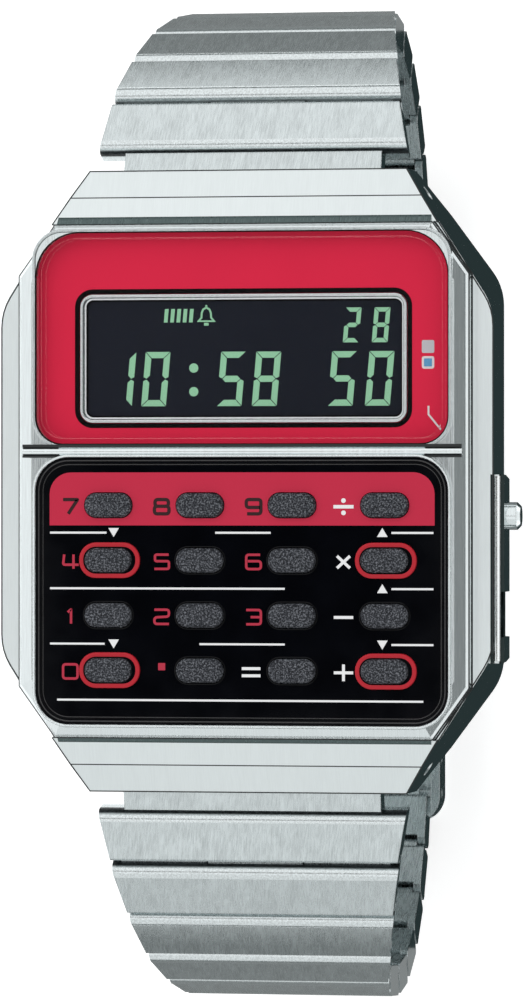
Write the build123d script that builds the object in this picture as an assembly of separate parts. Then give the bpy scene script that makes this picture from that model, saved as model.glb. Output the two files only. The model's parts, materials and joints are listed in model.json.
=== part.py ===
from build123d import *
import os
from math import cos, radians, sin

# A calculator watch on a closed metal bracelet. Sizes are in millimetres.
# +X is 3 o'clock, +Y is 12 o'clock and +Z points out of the display.
# The origin lies on the outer face of the clasp, on which the closed watch stands.

# Case
shoulder_width = 1.45
hood_length = 3.75
case_height = 8.2
case_corner_run = 8.0
case_corner_width = 5.9
corner_radius = 4.0
front_corner_run = 1.7
front_end_step = 0.2
shoulder_drop = 2.0
hood_drop = 1.25
hood_fold_drop = 1.8
hood_end_drop = 2.75
hood_fold_setback = 1.9
lug_undercut = 1.3
lug_undercut_run = 3.0
case_lift = 0.4
cavity_side_margin = 1.09
cavity_end_margin = 1.75
cavity_radius = 1.6

# Bezel frame, crystal and display
bezel_side_edge = 1.35
bezel_top_edge = 0.59
bezel_bottom_edge = 1.0
divider_width = 0.91
bezel_corner_run = 3.55
bezel_corner_width = 2.55
bezel_bevel = 0.25
bezel_slope_run = 0.75
bezel_slope_rise = 0.35
lip_width = 0.22
lip_height = 0.25
ledge_width = 0.8
ledge_height = 0.55
crystal_width = 28.8
crystal_length = 14.63
crystal_radius = 1.9
crystal_sink = 0.1
crystal_bevel = 0.45
sheet_thickness = 0.15
window_side_margin = 2.86
window_top_margin = 4.15
window_bottom_margin = 1.38
window_radius = 1.0
window_rim = 0.62
window_rim_height = 0.5
lcd_side_lap = 0.75
lcd_end_lap = 0.35
lcd_thickness = 1.2

# Key plate and keys
plate_length = 18.37
plate_corner_radius = 2.3
plate_thickness = 1.2
plate_sink = 0.25
plate_edge_width = 0.4
plate_edge_height = 0.1
key_columns = 4
key_rows = 4
key_left_margin = 5.08
key_right_margin = 4.39
key_top_margin = 3.28
key_bottom_margin = 3.72
key_width = 3.3
key_depth = 1.67
key_round_share = 0.96
key_stand = 0.4
key_crown = 0.25
key_flange = 0.38
key_flange_thickness = 0.45
key_travel = 0.35
key_play = 0.05
ring_width = 0.36
ring_height = 0.15
ring_offset = 0.14
dome_radius = 0.7
dome_height = 0.2
membrane_side_margin = 0.3
membrane_end_margin = 0.985
membrane_thickness = 0.5

# Module
module_clearance = 0.2
module_height = 1.4
board_thickness = 0.8
battery_diameter = 16.0
battery_thickness = 1.6
battery_end_margin = 3.0
battery_recess = 0.1
clamp_width = 4.0
clamp_thickness = 0.2
buzzer_diameter = 13.0
buzzer_thickness = 0.3
buzzer_end_margin = 0.5

# Back cover
back_thickness = 1.0
back_margin = 0.9
back_bevel = 0.25
gasket_width = 0.7
gasket_height = 0.5
gasket_offset = 0.35
screw_radius = 0.48
screw_length = 3.0
screw_head_radius = 0.85
screw_head_height = 0.4
screw_side_margin = 2.1
screw_end_margin = 1.9
screw_slot_width = 0.3
screw_slot_depth = 0.2

# Pushers and their guard
guard_top_y = 0.45
guard_bottom_y = -12.5
guard_reach = 0.7
guard_height = 3.4
guard_chamfer = 0.3
notch_top_y = -7.6
notch_bottom_y = -10.7
pusher_height = 4.2
pusher_y = -2.4
pusher_radius = 0.95
pusher_reach = 1.7
pusher_travel = 0.8
pusher_bevel = 0.25
setter_y = -9.15
setter_radius = 0.75
setter_reach = 0.15
setter_travel = 0.5
pusher_cap_depth = 1.5
pusher_shaft_radius = 0.55
pusher_ring_radius = 0.9
pusher_ring_thickness = 0.3

# Lug bars and bracelet
lug_width = 2.05
bar_setback = 1.6
bar_height = 3.4
bar_radius = 0.65
bar_tip_radius = 0.4
bar_tip_length = 1.7
slot_room = 1.2
end_link_length = 6.5
end_link_lap = 1.8
tongue_play = 0.2
tongue_length = 2.85
tongue_top = 0.85
tongue_eye_radius = 1.05
link_pitch = 4.15
link_narrowing = 1.45
band_width = 14.8
link_outer = 1.4
link_inner = 0.8
link_near_gap = 0.1
link_far_gap = 0.08
link_round = 0.7
link_edge_bevel = 0.12
link_inner_chamfer = 0.4
knuckle_radius = 0.6
knuckle_width = 6.8
knuckle_room = 0.1
link_side_wall = 0.6
pin_radius = 0.35
# How far each link slopes below the face of the watch, in degrees, from the lug to the clasp
tilt_angles_12 = (21, 50, 60, 72, 82, 99, 116, 130, 142, 155, 167)
tilt_angles_6 = (14, 35, 47, 63, 74, 86, 98, 115, 132, 147, 161)

# Clasp
clasp_side_gap = 0.3
clasp_wall = 0.7
clasp_floor = 0.8
clasp_wall_height = 3.2
clasp_pivot_height = 2.25
clasp_end_margin = 2.2
clasp_lip = 1.3
clasp_corner = 2.0
adjust_hole_pitch = 2.6
adjust_hole_radius = 0.4
adjust_holes = 4
leaf_side_gap = 0.6
leaf_thickness = 0.75
leaf_gap = 0.12
leaf_setback = 3.9
leaf_span = 28.5
leaf_eye_radius = 0.8
leaf_pin_radius = 0.5
leaf_tip_gap = 0.5
leaf_tip_length = 0.7

# Fits
fit = 0.03
running_fit = 0.05
overrun = 1.0

# Outlines that follow: the bezel goes round crystal, divider and plate, and the case round the bezel
plate_width = crystal_width - 2 * fit
bezel_width = crystal_width + 2 * bezel_side_edge
bezel_length = bezel_top_edge + crystal_length + divider_width + plate_length + bezel_bottom_edge
bezel_side_length = bezel_length - 2 * bezel_corner_run
bezel_end_width = bezel_width - 2 * bezel_corner_width
case_width = bezel_width + 2 * shoulder_width
case_length = bezel_length + 2 * hood_length
case_side_length = case_length - 2 * case_corner_run
case_end_width = case_width - 2 * case_corner_width
front_side_length = case_side_length - 2 * front_corner_run
front_end_width = case_end_width - 2 * front_end_step
cavity_width = plate_width - 2 * cavity_side_margin
cavity_length = bezel_length - 2 * cavity_end_margin

# Places on the face
crystal_middle_y = bezel_length / 2 - bezel_top_edge - crystal_length / 2
plate_middle_y = bezel_bottom_edge + plate_length / 2 - bezel_length / 2
window_width = crystal_width - 2 * window_side_margin
window_length = crystal_length - window_top_margin - window_bottom_margin
window_middle_y = crystal_middle_y - crystal_length / 2 + window_bottom_margin + window_length / 2
lcd_width = window_width + 2 * lcd_side_lap
lcd_length = window_length + 2 * lcd_end_lap
key_first_x = key_left_margin - plate_width / 2
key_first_y = plate_middle_y + plate_length / 2 - key_top_margin
key_pitch_x = (plate_width - key_left_margin - key_right_margin) / (key_columns - 1)
key_pitch_y = (plate_length - key_top_margin - key_bottom_margin) / (key_rows - 1)
membrane_width = cavity_width - 2 * membrane_side_margin
membrane_length = plate_length - 2 * membrane_end_margin
battery_y = battery_end_margin + battery_diameter / 2 - cavity_length / 2
buzzer_y = cavity_length / 2 - buzzer_end_margin - buzzer_diameter / 2
screw_x = case_width / 2 - screw_side_margin
screw_y = case_side_length / 2 - screw_end_margin

# Widths down the band: the tongue fits between the lugs, the clasp round the links, the leaves in it
lug_gap = case_end_width - 2 * lug_width
tongue_width = lug_gap - 2 * tongue_play
end_link_width = tongue_width + 2 * end_link_lap
clasp_width = band_width + 2 * (clasp_wall + clasp_side_gap)
leaf_width = clasp_width - 2 * (clasp_wall + leaf_side_gap)
leaf_tongue_width = knuckle_width - 2 * knuckle_room

rows = range(key_rows)
columns = range(key_columns)
key_names = (
    ("7", "8", "9", "divide"),
    ("4", "5", "6", "multiply"),
    ("1", "2", "3", "minus"),
    ("0", "point", "equals", "plus"),
)
ringed_keys = ("4", "multiply", "0", "plus")


def chain(tilts):
    """Pivots of one side of the bracelet, from the lug bar at (y, 0) down to the clasp."""
    y, drop = case_length / 2 - bar_setback, 0.0
    points = [(y, drop)]
    for number, tilt in enumerate(tilts):
        length = link_pitch if number else end_link_length
        y += length * cos(radians(tilt))
        drop += length * sin(radians(tilt))
        points.append((y, drop))
    return points


bar_z = clasp_pivot_height + chain(tilt_angles_6)[-1][1]
back_z = bar_z - bar_height
face_z = back_z + case_height
shoulder_z = face_z - shoulder_drop
plate_top_z = face_z - plate_sink
plate_bottom_z = plate_top_z - plate_thickness
seat_z = shoulder_z + ledge_height
flange_top_z = plate_bottom_z - key_play
flange_bottom_z = flange_top_z - key_flange_thickness
membrane_top_z = flange_bottom_z - key_travel - key_play - dome_height
membrane_bottom_z = membrane_top_z - membrane_thickness
board_bottom_z = membrane_bottom_z - module_height - board_thickness
pusher_z = back_z + pusher_height
tip_z = bar_z - chain(tilt_angles_12)[-1][1]


def block(x0, x1, y0, y1, z0, z1):
    """A box between two corners."""
    size = Box(x1 - x0, y1 - y0, z1 - z0)
    return Pos((x0 + x1) / 2, (y0 + y1) / 2, (z0 + z1) / 2) * size


def slab(width, length, radius, y, z0, z1):
    """A plate with rounded corners, standing from z0 to z1."""
    return Pos(0, y, z0) * extrude(RectangleRounded(width, length, radius), z1 - z0)


def rod_x(radius, x0, x1, y, z):
    """A round bar along X."""
    return Pos((x0 + x1) / 2, y, z) * Rot(0, 90, 0) * Cylinder(radius, x1 - x0)


def rod_z(radius, x, y, z0, z1):
    """A round bar along Z."""
    return Pos(x, y, (z0 + z1) / 2) * Cylinder(radius, z1 - z0)


def octagon(width, length, side_length, end_width, radius=0):
    """The plan of the case: straight sides, sloping corners and narrow ends."""
    x, y, side, end = width / 2, length / 2, side_length / 2, end_width / 2
    quarter = [(end, y), (x, side), (x, -side), (end, -y)]
    points = quarter + [(-a, b) for a, b in reversed(quarter)]
    plan = make_face(Polyline(*points, close=True))
    if radius:
        wide = plan.vertices().filter_by(lambda v: abs(v.X) > (x + end) / 2)
        plan = fillet(wide, radius)
    return plan


def case_plan(inset=0.0):
    """The outline of the case seen from the back, drawn in by an inset."""
    return octagon(
        case_width - 2 * inset,
        case_length - 2 * inset,
        case_side_length - inset,
        case_end_width - inset,
        corner_radius,
    )


def prism_x(points, width):
    """A profile given as (y, z) points, made as wide as asked about X = 0."""
    face = Plane.YZ * make_face(Polyline(*points, close=True))
    return extrude(face, width / 2, both=True)


def case_side_profile():
    """The case seen from the side: hoods at both ends, a flat seat for the bezel between them."""
    end, seat = case_length / 2, bezel_length / 2 + fit
    bottom = back_z + case_lift
    half = [
        (end - lug_undercut_run, bottom),
        (end, bottom + lug_undercut),
        (end, face_z - hood_end_drop),
        (end - hood_fold_setback, face_z - hood_fold_drop),
        (seat, face_z - hood_drop),
        (seat, shoulder_z),
    ]
    return half + [(-y, z) for y, z in reversed(half)]


def pusher_seats():
    """Where each pusher stands: height along Y, cap radius and how far it reaches past the side."""
    return ((pusher_y, pusher_radius, pusher_reach), (setter_y, setter_radius, setter_reach))


def case_shell():
    """The case wall as one loft, cut to its side profile."""
    low = Pos(0, 0, back_z + case_lift) * case_plan()
    front = octagon(case_width, case_length, front_side_length, front_end_width, corner_radius)
    high = Pos(0, 0, face_z - hood_drop) * front
    return loft([low.face(), high.face()], ruled=True) & prism_x(case_side_profile(), case_width)


def guard():
    """The ridge on the 3 o'clock side that shields both pushers."""
    side = case_width / 2
    low, high = pusher_z - guard_height / 2, pusher_z + guard_height / 2
    ridge = block(side - overrun, side + guard_reach, guard_bottom_y, guard_top_y, low, high)
    outer = ridge.edges().group_by(Axis.X)[-1]
    ridge = chamfer(outer, guard_chamfer)
    return ridge - block(side, side + overrun, notch_bottom_y, notch_top_y, low - overrun, high + overrun)


def case_body():
    body = case_shell() + guard()
    body -= slab(cavity_width, cavity_length, cavity_radius, 0, back_z, face_z)
    body -= Pos(0, 0, back_z) * extrude(case_plan(back_margin - running_fit), back_thickness)
    end, middle = case_length / 2, cavity_width / 2
    slot_in = end - bar_setback - slot_room
    for sign in (1, -1):
        near, far = sorted((sign * slot_in, sign * (end + overrun)))
        body -= block(-lug_gap / 2, lug_gap / 2, near, far, back_z - overrun, bar_z + slot_room)
        y = sign * (end - bar_setback)
        body -= rod_x(bar_tip_radius + running_fit, -case_width / 2, case_width / 2, y, bar_z)
    for y, radius, reach in pusher_seats():
        outside = case_width / 2 + guard_reach + overrun
        body -= rod_x(pusher_shaft_radius + running_fit, middle - overrun, outside, y, pusher_z)
        pocket = case_width / 2 - pusher_cap_depth
        body -= rod_x(radius + running_fit, pocket, outside, y, pusher_z)
    for x, y in screw_places():
        top = back_z + screw_head_height + screw_length
        body -= rod_z(screw_radius + fit, x, y, back_z, top + fit)
    return body - gasket_ring(gasket_width, gasket_height)


def screw_places():
    return [(sx * screw_x, sy * screw_y) for sx in (1, -1) for sy in (1, -1)]


def bezel_plan(inset=0.0):
    return octagon(
        bezel_width - 2 * inset,
        bezel_length - 2 * inset,
        bezel_side_length - inset,
        bezel_end_width - inset,
    )


def bezel_frame():
    """The raised frame: a bevel round the outside, a slope, and a lip round each opening."""
    top = face_z - lip_height
    fold = top - bezel_slope_rise
    edge = fold - bezel_bevel
    frame = Pos(0, 0, shoulder_z) * extrude(bezel_plan(), edge - shoulder_z)
    outer, inner = bezel_bevel, bezel_bevel + bezel_slope_run
    steps = ((edge, 0.0, fold, outer), (fold, outer, top, inner))
    for low, low_inset, high, high_inset in steps:
        lower = (Pos(0, 0, low) * bezel_plan(low_inset)).face()
        upper = (Pos(0, 0, high) * bezel_plan(high_inset)).face()
        frame += loft([lower, upper], ruled=True)
    openings = (
        (crystal_width, crystal_length, crystal_radius, crystal_middle_y),
        (plate_width, plate_length, plate_corner_radius, plate_middle_y),
    )
    for width, length, radius, y in openings:
        rim = 2 * lip_width
        frame += slab(width + rim, length + rim, radius + lip_width, y, fold, face_z)
    for width, length, radius, y in openings:
        room = 2 * fit
        frame -= slab(width + room, length + room, radius + fit, y, seat_z, face_z)
        less = 2 * ledge_width
        inner_radius = max(radius - ledge_width, radius / 2)
        frame -= slab(width - less, length - less, inner_radius, y, shoulder_z, face_z)
    return frame


def display_crystal():
    top = face_z - crystal_sink
    bottom = seat_z + sheet_thickness
    glass = slab(crystal_width, crystal_length, crystal_radius, crystal_middle_y, bottom, top)
    return chamfer(glass.edges().group_by(Axis.Z)[-1], crystal_bevel)


def dial_sheet():
    """The coloured sheet under the crystal, with the display window cut out."""
    top = seat_z + sheet_thickness
    sheet = slab(crystal_width, crystal_length, crystal_radius, crystal_middle_y, seat_z, top)
    window = (window_width + 2 * fit, window_length + 2 * fit, window_radius + fit)
    return sheet - slab(*window, window_middle_y, shoulder_z, face_z)


def window_frame():
    top = seat_z + sheet_thickness
    bottom = top - window_rim_height
    ring = slab(window_width, window_length, window_radius, window_middle_y, bottom, top)
    inside = (window_width - 2 * window_rim, window_length - 2 * window_rim)
    ring -= slab(*inside, window_radius - window_rim / 2, window_middle_y, bottom, top)
    return chamfer(ring.edges().group_by(Axis.Z)[-1].group_by(SortBy.LENGTH)[0], sheet_thickness)


def lcd_panel():
    top = seat_z + sheet_thickness - window_rim_height
    bottom = top - lcd_thickness
    return block(
        -lcd_width / 2,
        lcd_width / 2,
        window_middle_y - lcd_length / 2,
        window_middle_y + lcd_length / 2,
        bottom,
        top,
    )


def key_place(row, column):
    return key_first_x + column * key_pitch_x, key_first_y - row * key_pitch_y


def stadium(width, depth, x, y, z0, z1):
    """A key-shaped solid with fully rounded ends."""
    plan = RectangleRounded(width, depth, depth / 2 * key_round_share)
    return Pos(x, y, z0) * extrude(plan, z1 - z0)


def key_plate():
    """The panel that the keys come through, with a raised edge and four raised rings."""
    edge_top = plate_top_z + plate_edge_height
    plate = slab(plate_width, plate_length, plate_corner_radius, plate_middle_y, seat_z, edge_top)
    plate -= slab(
        plate_width - 2 * plate_edge_width,
        plate_length - 2 * plate_edge_width,
        plate_corner_radius - plate_edge_width,
        plate_middle_y,
        plate_top_z,
        face_z,
    )
    less = 2 * (ledge_width + fit)
    inner_radius = plate_corner_radius - ledge_width
    plate += slab(
        plate_width - less,
        plate_length - less,
        inner_radius,
        plate_middle_y,
        plate_bottom_z,
        plate_top_z,
    )
    play = 2 * key_play
    for row in rows:
        for column in columns:
            x, y = key_place(row, column)
            if key_names[row][column] in ringed_keys:
                wide = 2 * ring_width
                ring = (key_width + wide + ring_offset, key_depth + wide)
                ring_x = x + ring_offset / 2
                plate += stadium(*ring, ring_x, y, plate_bottom_z, plate_top_z + ring_height)
            hole = (key_width + play, key_depth + play)
            plate -= stadium(*hole, x, y, plate_bottom_z - overrun, face_z + overrun)
    return plate


def key(row, column):
    """One key: a rounded top that stands out of the plate, over a flange that keeps it in."""
    x, y = key_place(row, column)
    top = plate_top_z + key_stand
    cap = stadium(key_width, key_depth, x, y, flange_bottom_z, top)
    cap = fillet(cap.edges().group_by(Axis.Z)[-1], key_crown)
    flange = (key_width + 2 * key_flange, key_depth + 2 * key_flange)
    return cap + stadium(*flange, x, y, flange_bottom_z, flange_top_z)


def key_sheet():
    """The rubber sheet under the keys, with a dome under each one."""
    sheet = slab(
        membrane_width,
        membrane_length,
        cavity_radius,
        plate_middle_y,
        membrane_bottom_z,
        membrane_top_z,
    )
    for row in rows:
        for column in columns:
            x, y = key_place(row, column)
            sheet += rod_z(dome_radius, x, y, membrane_bottom_z, membrane_top_z + dome_height)
    return sheet


def module_box(z0, z1):
    """A plate of the module that fills the cavity, notched where the pushers come in."""
    width = cavity_width - 2 * module_clearance
    length = cavity_length - 2 * module_clearance
    plate = slab(width, length, cavity_radius - module_clearance, 0, z0, z1)
    reach = pusher_travel + pusher_ring_thickness + 2 * module_clearance
    room = pusher_ring_radius + module_clearance
    for y in (pusher_y, setter_y):
        inner = cavity_width / 2 - reach
        plate -= block(inner, cavity_width, y - room, y + room, pusher_z - room, pusher_z + room)
    return plate


def module_frame():
    """The plastic body of the module: it carries the display, the sheet and the board."""
    frame = module_box(membrane_bottom_z - module_height, membrane_bottom_z)
    lcd_bottom = seat_z + sheet_thickness - window_rim_height - lcd_thickness
    rise = block(
        -lcd_width / 2,
        lcd_width / 2,
        window_middle_y - lcd_length / 2,
        window_middle_y + lcd_length / 2,
        membrane_bottom_z - module_height,
        lcd_bottom,
    )
    return frame + rise


def circuit_board():
    board = module_box(board_bottom_z, board_bottom_z + board_thickness)
    hole = battery_diameter / 2 + module_clearance
    return board - rod_z(hole, 0, battery_y, board_bottom_z - overrun, board_bottom_z + overrun)


def battery():
    """The coin cell and the strap that holds it against the board."""
    top = board_bottom_z + board_thickness - battery_recess
    bottom = top - battery_thickness
    cell = rod_z(battery_diameter / 2, 0, battery_y, bottom, top)
    cell = chamfer(cell.edges().group_by(Axis.Z)[0], battery_recess)
    length = battery_diameter / 2 + clamp_width / 2
    low = bottom - clamp_thickness
    strap = block(-length, length, battery_y - clamp_width / 2, battery_y + clamp_width / 2, low, bottom)
    for sign in (1, -1):
        x0, x1 = sorted((sign * (length - clamp_thickness), sign * length))
        near, far = battery_y - clamp_width / 2, battery_y + clamp_width / 2
        strap += block(x0, x1, near, far, low, board_bottom_z)
    return Compound([cell, strap])


def buzzer():
    top = back_z + back_thickness + buzzer_thickness
    return rod_z(buzzer_diameter / 2, 0, buzzer_y, back_z + back_thickness, top)


def gasket_ring(width, height):
    """A ring round the cavity, standing on the back cover."""
    bottom = back_z + back_thickness
    outer = gasket_offset + width
    ring = slab(
        cavity_width + 2 * outer,
        cavity_length + 2 * outer,
        cavity_radius + outer,
        0,
        bottom,
        bottom + height,
    )
    hole = (cavity_width + 2 * gasket_offset, cavity_length + 2 * gasket_offset)
    return ring - slab(*hole, cavity_radius + gasket_offset, 0, bottom, bottom + height)


def back_cover():
    plate = Pos(0, 0, back_z) * extrude(case_plan(back_margin), back_thickness)
    plate = chamfer(plate.edges().group_by(Axis.Z)[0], back_bevel)
    for sign in (1, -1):
        room = case_length / 2 - bar_setback - slot_room
        near, far = sorted((sign * room, sign * case_length))
        plate -= block(-case_width, case_width, near, far, back_z - overrun, back_z + back_thickness + overrun)
    for x, y in screw_places():
        plate -= rod_z(screw_radius + running_fit, x, y, back_z, back_z + back_thickness)
        plate -= rod_z(screw_head_radius + running_fit, x, y, back_z, back_z + screw_head_height)
    return plate


def back_screws():
    screws = []
    for x, y in screw_places():
        screw = rod_z(screw_head_radius, x, y, back_z, back_z + screw_head_height)
        screw += rod_z(screw_radius, x, y, back_z, back_z + screw_head_height + screw_length)
        half = screw_slot_width / 2
        across = screw_head_radius + overrun
        screw -= block(x - across, x + across, y - half, y + half, back_z, back_z + screw_slot_depth)
        screws.append(screw)
    return Compound(screws)


def lug_bars():
    bars = []
    for sign in (1, -1):
        y = sign * (case_length / 2 - bar_setback)
        half = lug_gap / 2 - running_fit
        bar = rod_x(bar_radius, -half, half, y, bar_z)
        tip = half + bar_tip_length
        bars.append(bar + rod_x(bar_tip_radius, -tip, tip, y, bar_z))
    return Compound(bars)


def pusher(y, radius, reach, travel):
    """A round cap outside, a shaft through the wall and a ring that keeps it in."""
    side, inside = case_width / 2, cavity_width / 2
    cap_in = side - pusher_cap_depth + travel + running_fit
    cap = rod_x(radius, cap_in, side + reach, y, pusher_z)
    cap = chamfer(cap.edges().group_by(Axis.X)[-1], pusher_bevel)
    ring_out = inside - running_fit
    shaft_in = ring_out - pusher_ring_thickness
    shaft = rod_x(pusher_shaft_radius, shaft_in, cap_in, y, pusher_z)
    ring = rod_x(pusher_ring_radius, shaft_in, ring_out, y, pusher_z)
    return cap + shaft + ring


def link_width(station):
    """Width of the bracelet at a pivot, counted from the first link."""
    return max(band_width, end_link_width - station * link_narrowing)


def link_profile(start, length):
    """A link from the side: u runs along it from the near pivot, w points outward."""
    far = length - link_far_gap
    bevel, low = link_edge_bevel, link_inner_chamfer
    corners = [
        (start, link_outer),
        (far - bevel, link_outer),
        (far, link_outer - bevel),
        (far, low - link_inner),
        (far - low, -link_inner),
        (start + low, -link_inner),
        (start, low - link_inner),
    ]
    plan = make_face(Polyline(*corners, close=True))
    near_edge = plan.vertices().sort_by_distance((start, link_outer, 0))[0]
    return Plane.YZ * fillet(near_edge, link_round)


def link_body(start, length, near_width, far_width):
    """The plate of a link, tapered from its near end to its far end."""
    wide = max(near_width, far_width)
    body = extrude(link_profile(start, length), wide / 2, both=True)
    near, far = near_width / 2, far_width / 2
    end = length + overrun
    low, high = -link_inner - overrun, link_outer + overrun
    plan = make_face(Polyline((-near, start), (near, start), (far, length), (-far, length), close=True))
    return body & (Pos(0, 0, low) * extrude(plan, high - low))


def far_knuckles(length, far_width):
    """Two side knuckles that carry the pin, with a pocket between them for the next link."""
    inner = knuckle_width / 2 + knuckle_room / 2
    outer = far_width / 2 - link_side_wall
    parts = None
    for x0, x1 in ((inner, outer), (-outer, -inner)):
        web_in = length - knuckle_radius - 2 * knuckle_room
        side = rod_x(knuckle_radius, x0, x1, length, 0)
        side += block(x0, x1, web_in, length, -knuckle_radius, knuckle_radius)
        parts = side if parts is None else parts + side
    return parts


def link_pin(length, half):
    return rod_x(pin_radius, -half, half, length, 0)


def finish_far_end(body, length, far_width):
    """Cut the far end for the next link's knuckle, then add the side knuckles with their bore."""
    room = knuckle_radius + knuckle_room
    inner = knuckle_width / 2 + knuckle_room / 2
    low = -link_inner - overrun
    body -= block(-inner, inner, length - room, length + overrun, low, room)
    body += far_knuckles(length, far_width)
    return body - rod_x(pin_radius, -far_width, far_width, length, 0)


def bracelet_link(station, pin_half=None):
    """A link from pivot to pivot: centre knuckle at the near end, side knuckles at the far end."""
    near_width, far_width = link_width(station), link_width(station + 1)
    body = link_body(link_near_gap, link_pitch, near_width, far_width)
    room = knuckle_radius + knuckle_room
    inner = knuckle_width / 2 - knuckle_room / 2
    side = near_width / 2 - link_side_wall + knuckle_room / 2
    low = -link_inner - overrun
    for x0, x1 in ((inner, side), (-side, -inner)):
        body -= block(x0, x1, -overrun, room, low, room)
    centre = rod_x(knuckle_radius, -inner, inner, 0, 0)
    centre += block(-inner, inner, 0, room, -knuckle_radius, knuckle_radius)
    body += centre
    body -= rod_x(pin_radius + running_fit / 2, -inner - overrun, inner + overrun, 0, 0)
    body = finish_far_end(body, link_pitch, far_width)
    half = pin_half or far_width / 2 - link_side_wall
    return Compound([body, link_pin(link_pitch, half)])


def end_link():
    """The first link: a tongue on the lug bar between the lugs, then the wide plate."""
    far_width = link_width(1)
    body = link_body(tongue_length, end_link_length, end_link_width, far_width)
    eye = bar_radius + running_fit
    half = tongue_width / 2
    tongue = rod_x(tongue_eye_radius, -half, half, 0, 0)
    tongue += block(-half, half, 0, tongue_length + link_round, -link_inner, tongue_top)
    body += tongue
    body -= rod_x(eye, -case_width, case_width, 0, 0)
    body = finish_far_end(body, end_link_length, far_width)
    return Compound([body, link_pin(end_link_length, far_width / 2 - link_side_wall)])


def side_place(side, number, tilts):
    """Where a link stands: its near pivot, sloped by its tilt, on the 12 or the 6 o'clock side."""
    y, drop = chain(tilts)[number]
    place = Pos(0, y, bar_z - drop) * Rot(-tilts[number], 0, 0)
    return place if side == 12 else Rot(0, 0, 180) * place


def band(side, tilts):
    """All links of one side, by node name."""
    links = {}
    last = len(tilts) - 1
    for number in range(len(tilts)):
        if number == 0:
            link = end_link()
        elif number == last and side == 6:
            link = bracelet_link(number, clasp_width / 2 - clasp_wall / 4)
        else:
            link = bracelet_link(number)
        links[f"link_{side}_{number + 1:02d}"] = side_place(side, number, tilts) * link
    return links


def clasp_ends():
    """Where both bands end along Y, and where the pivots of the two leaves stand."""
    band_end = -chain(tilt_angles_6)[-1][0]
    tip = chain(tilt_angles_12)[-1][0]
    hinge = tip - leaf_setback
    return band_end, tip, hinge, hinge - leaf_span


def clasp_cover():
    """The outer plate of the clasp, turned up at both sides, with a row of adjusting holes."""
    band_end, _, hinge, _ = clasp_ends()
    low, high = band_end - clasp_end_margin, hinge + clasp_lip
    middle = (low + high) / 2
    half = clasp_width / 2
    cover = slab(clasp_width, high - low, clasp_corner, middle, 0, clasp_wall_height)
    inner = half - clasp_wall
    cover -= block(-inner, inner, low - overrun, high + overrun, clasp_floor, clasp_wall_height)
    cover = chamfer(cover.edges().group_by(Axis.Z)[0], clasp_wall / 2)
    gap = leaf_tongue_width / 2 + 2 * leaf_gap
    cover -= block(-gap, gap, hinge + leaf_pin_radius, high + overrun, -overrun, clasp_wall_height)
    pivot = clasp_pivot_height
    for number in range(adjust_holes):
        y = band_end + number * adjust_hole_pitch
        cover -= rod_x(adjust_hole_radius, -clasp_width, clasp_width, y, pivot)
    outside = half - clasp_wall / 4
    pin_z = leaf_pin_height()
    cover -= rod_x(leaf_pin_radius, -outside, outside, hinge, pin_z)
    return Compound([cover, rod_x(leaf_pin_radius, -outside, outside, hinge, pin_z)])


def leaf_pin_height():
    return clasp_floor + leaf_gap + leaf_eye_radius


def clasp_leaf_outer():
    """The lower leaf: side eyes on the cover's pin, and side eyes with the pin of the other leaf."""
    _, _, hinge, fold = clasp_ends()
    pin_z = leaf_pin_height()
    low = clasp_floor + leaf_gap
    half, gap = leaf_width / 2, leaf_tongue_width / 2 + leaf_gap
    room = leaf_eye_radius + leaf_gap
    leaf = block(-half, half, fold, hinge, low, low + leaf_thickness)
    leaf = leaf - block(-gap, gap, hinge - room, hinge + overrun, 0, face_z)
    leaf = leaf - block(-gap, gap, fold - overrun, fold + room, 0, face_z)
    for y in (hinge, fold):
        for x0, x1 in ((gap, half), (-half, -gap)):
            leaf += rod_x(leaf_eye_radius, x0, x1, y, pin_z)
    leaf -= rod_x(leaf_pin_radius + running_fit, -half, half, hinge, pin_z)
    leaf -= rod_x(leaf_pin_radius, -half, half, fold, pin_z)
    pin = rod_x(leaf_pin_radius, -half, half, fold, pin_z)
    return Compound([leaf, pin])


def clasp_leaf_inner():
    """The upper leaf: a centre eye on the pin, a plate, and a tongue that ends at the last link's pin."""
    _, tip, hinge, fold = clasp_ends()
    pin_z = leaf_pin_height()
    low = pin_z + leaf_pin_radius + leaf_gap
    high = low + leaf_thickness
    half, centre = leaf_width / 2 - clasp_wall, leaf_tongue_width / 2
    room = leaf_eye_radius + 2 * leaf_gap
    end = tip - pin_radius - leaf_tip_gap
    leaf = block(-half, half, fold + room, hinge - room, low, high)
    leaf += block(-centre, centre, fold, end, low, high)
    leaf += rod_x(leaf_eye_radius, -centre, centre, fold, pin_z)
    leaf += block(-centre, centre, fold, fold + room, pin_z, high)
    leaf += block(-centre, centre, end - leaf_tip_length, end, tip_z - knuckle_radius, high)
    return leaf - rod_x(leaf_pin_radius + running_fit, -centre, centre, fold, pin_z)


def all_parts():
    parts = {
        "case_body": case_body(),
        "bezel_frame": bezel_frame(),
        "display_crystal": display_crystal(),
        "dial_sheet": dial_sheet(),
        "window_frame": window_frame(),
        "lcd_panel": lcd_panel(),
        "key_plate": key_plate(),
        "key_sheet": key_sheet(),
        "module_frame": module_frame(),
        "circuit_board": circuit_board(),
        "battery": battery(),
        "buzzer": buzzer(),
        "back_gasket": gasket_ring(gasket_width, gasket_height),
        "back_cover": back_cover(),
        "back_screws": back_screws(),
        "lug_bars": lug_bars(),
        "mode_pusher": pusher(pusher_y, pusher_radius, pusher_reach, pusher_travel),
        "adjust_pusher": pusher(setter_y, setter_radius, setter_reach, setter_travel),
        "clasp_cover": clasp_cover(),
        "clasp_leaf_outer": clasp_leaf_outer(),
        "clasp_leaf_inner": clasp_leaf_inner(),
    }
    for row in rows:
        for column in columns:
            parts[f"key_{key_names[row][column]}"] = key(row, column)
    parts.update(band(12, tilt_angles_12))
    parts.update(band(6, tilt_angles_6))
    return parts


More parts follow.
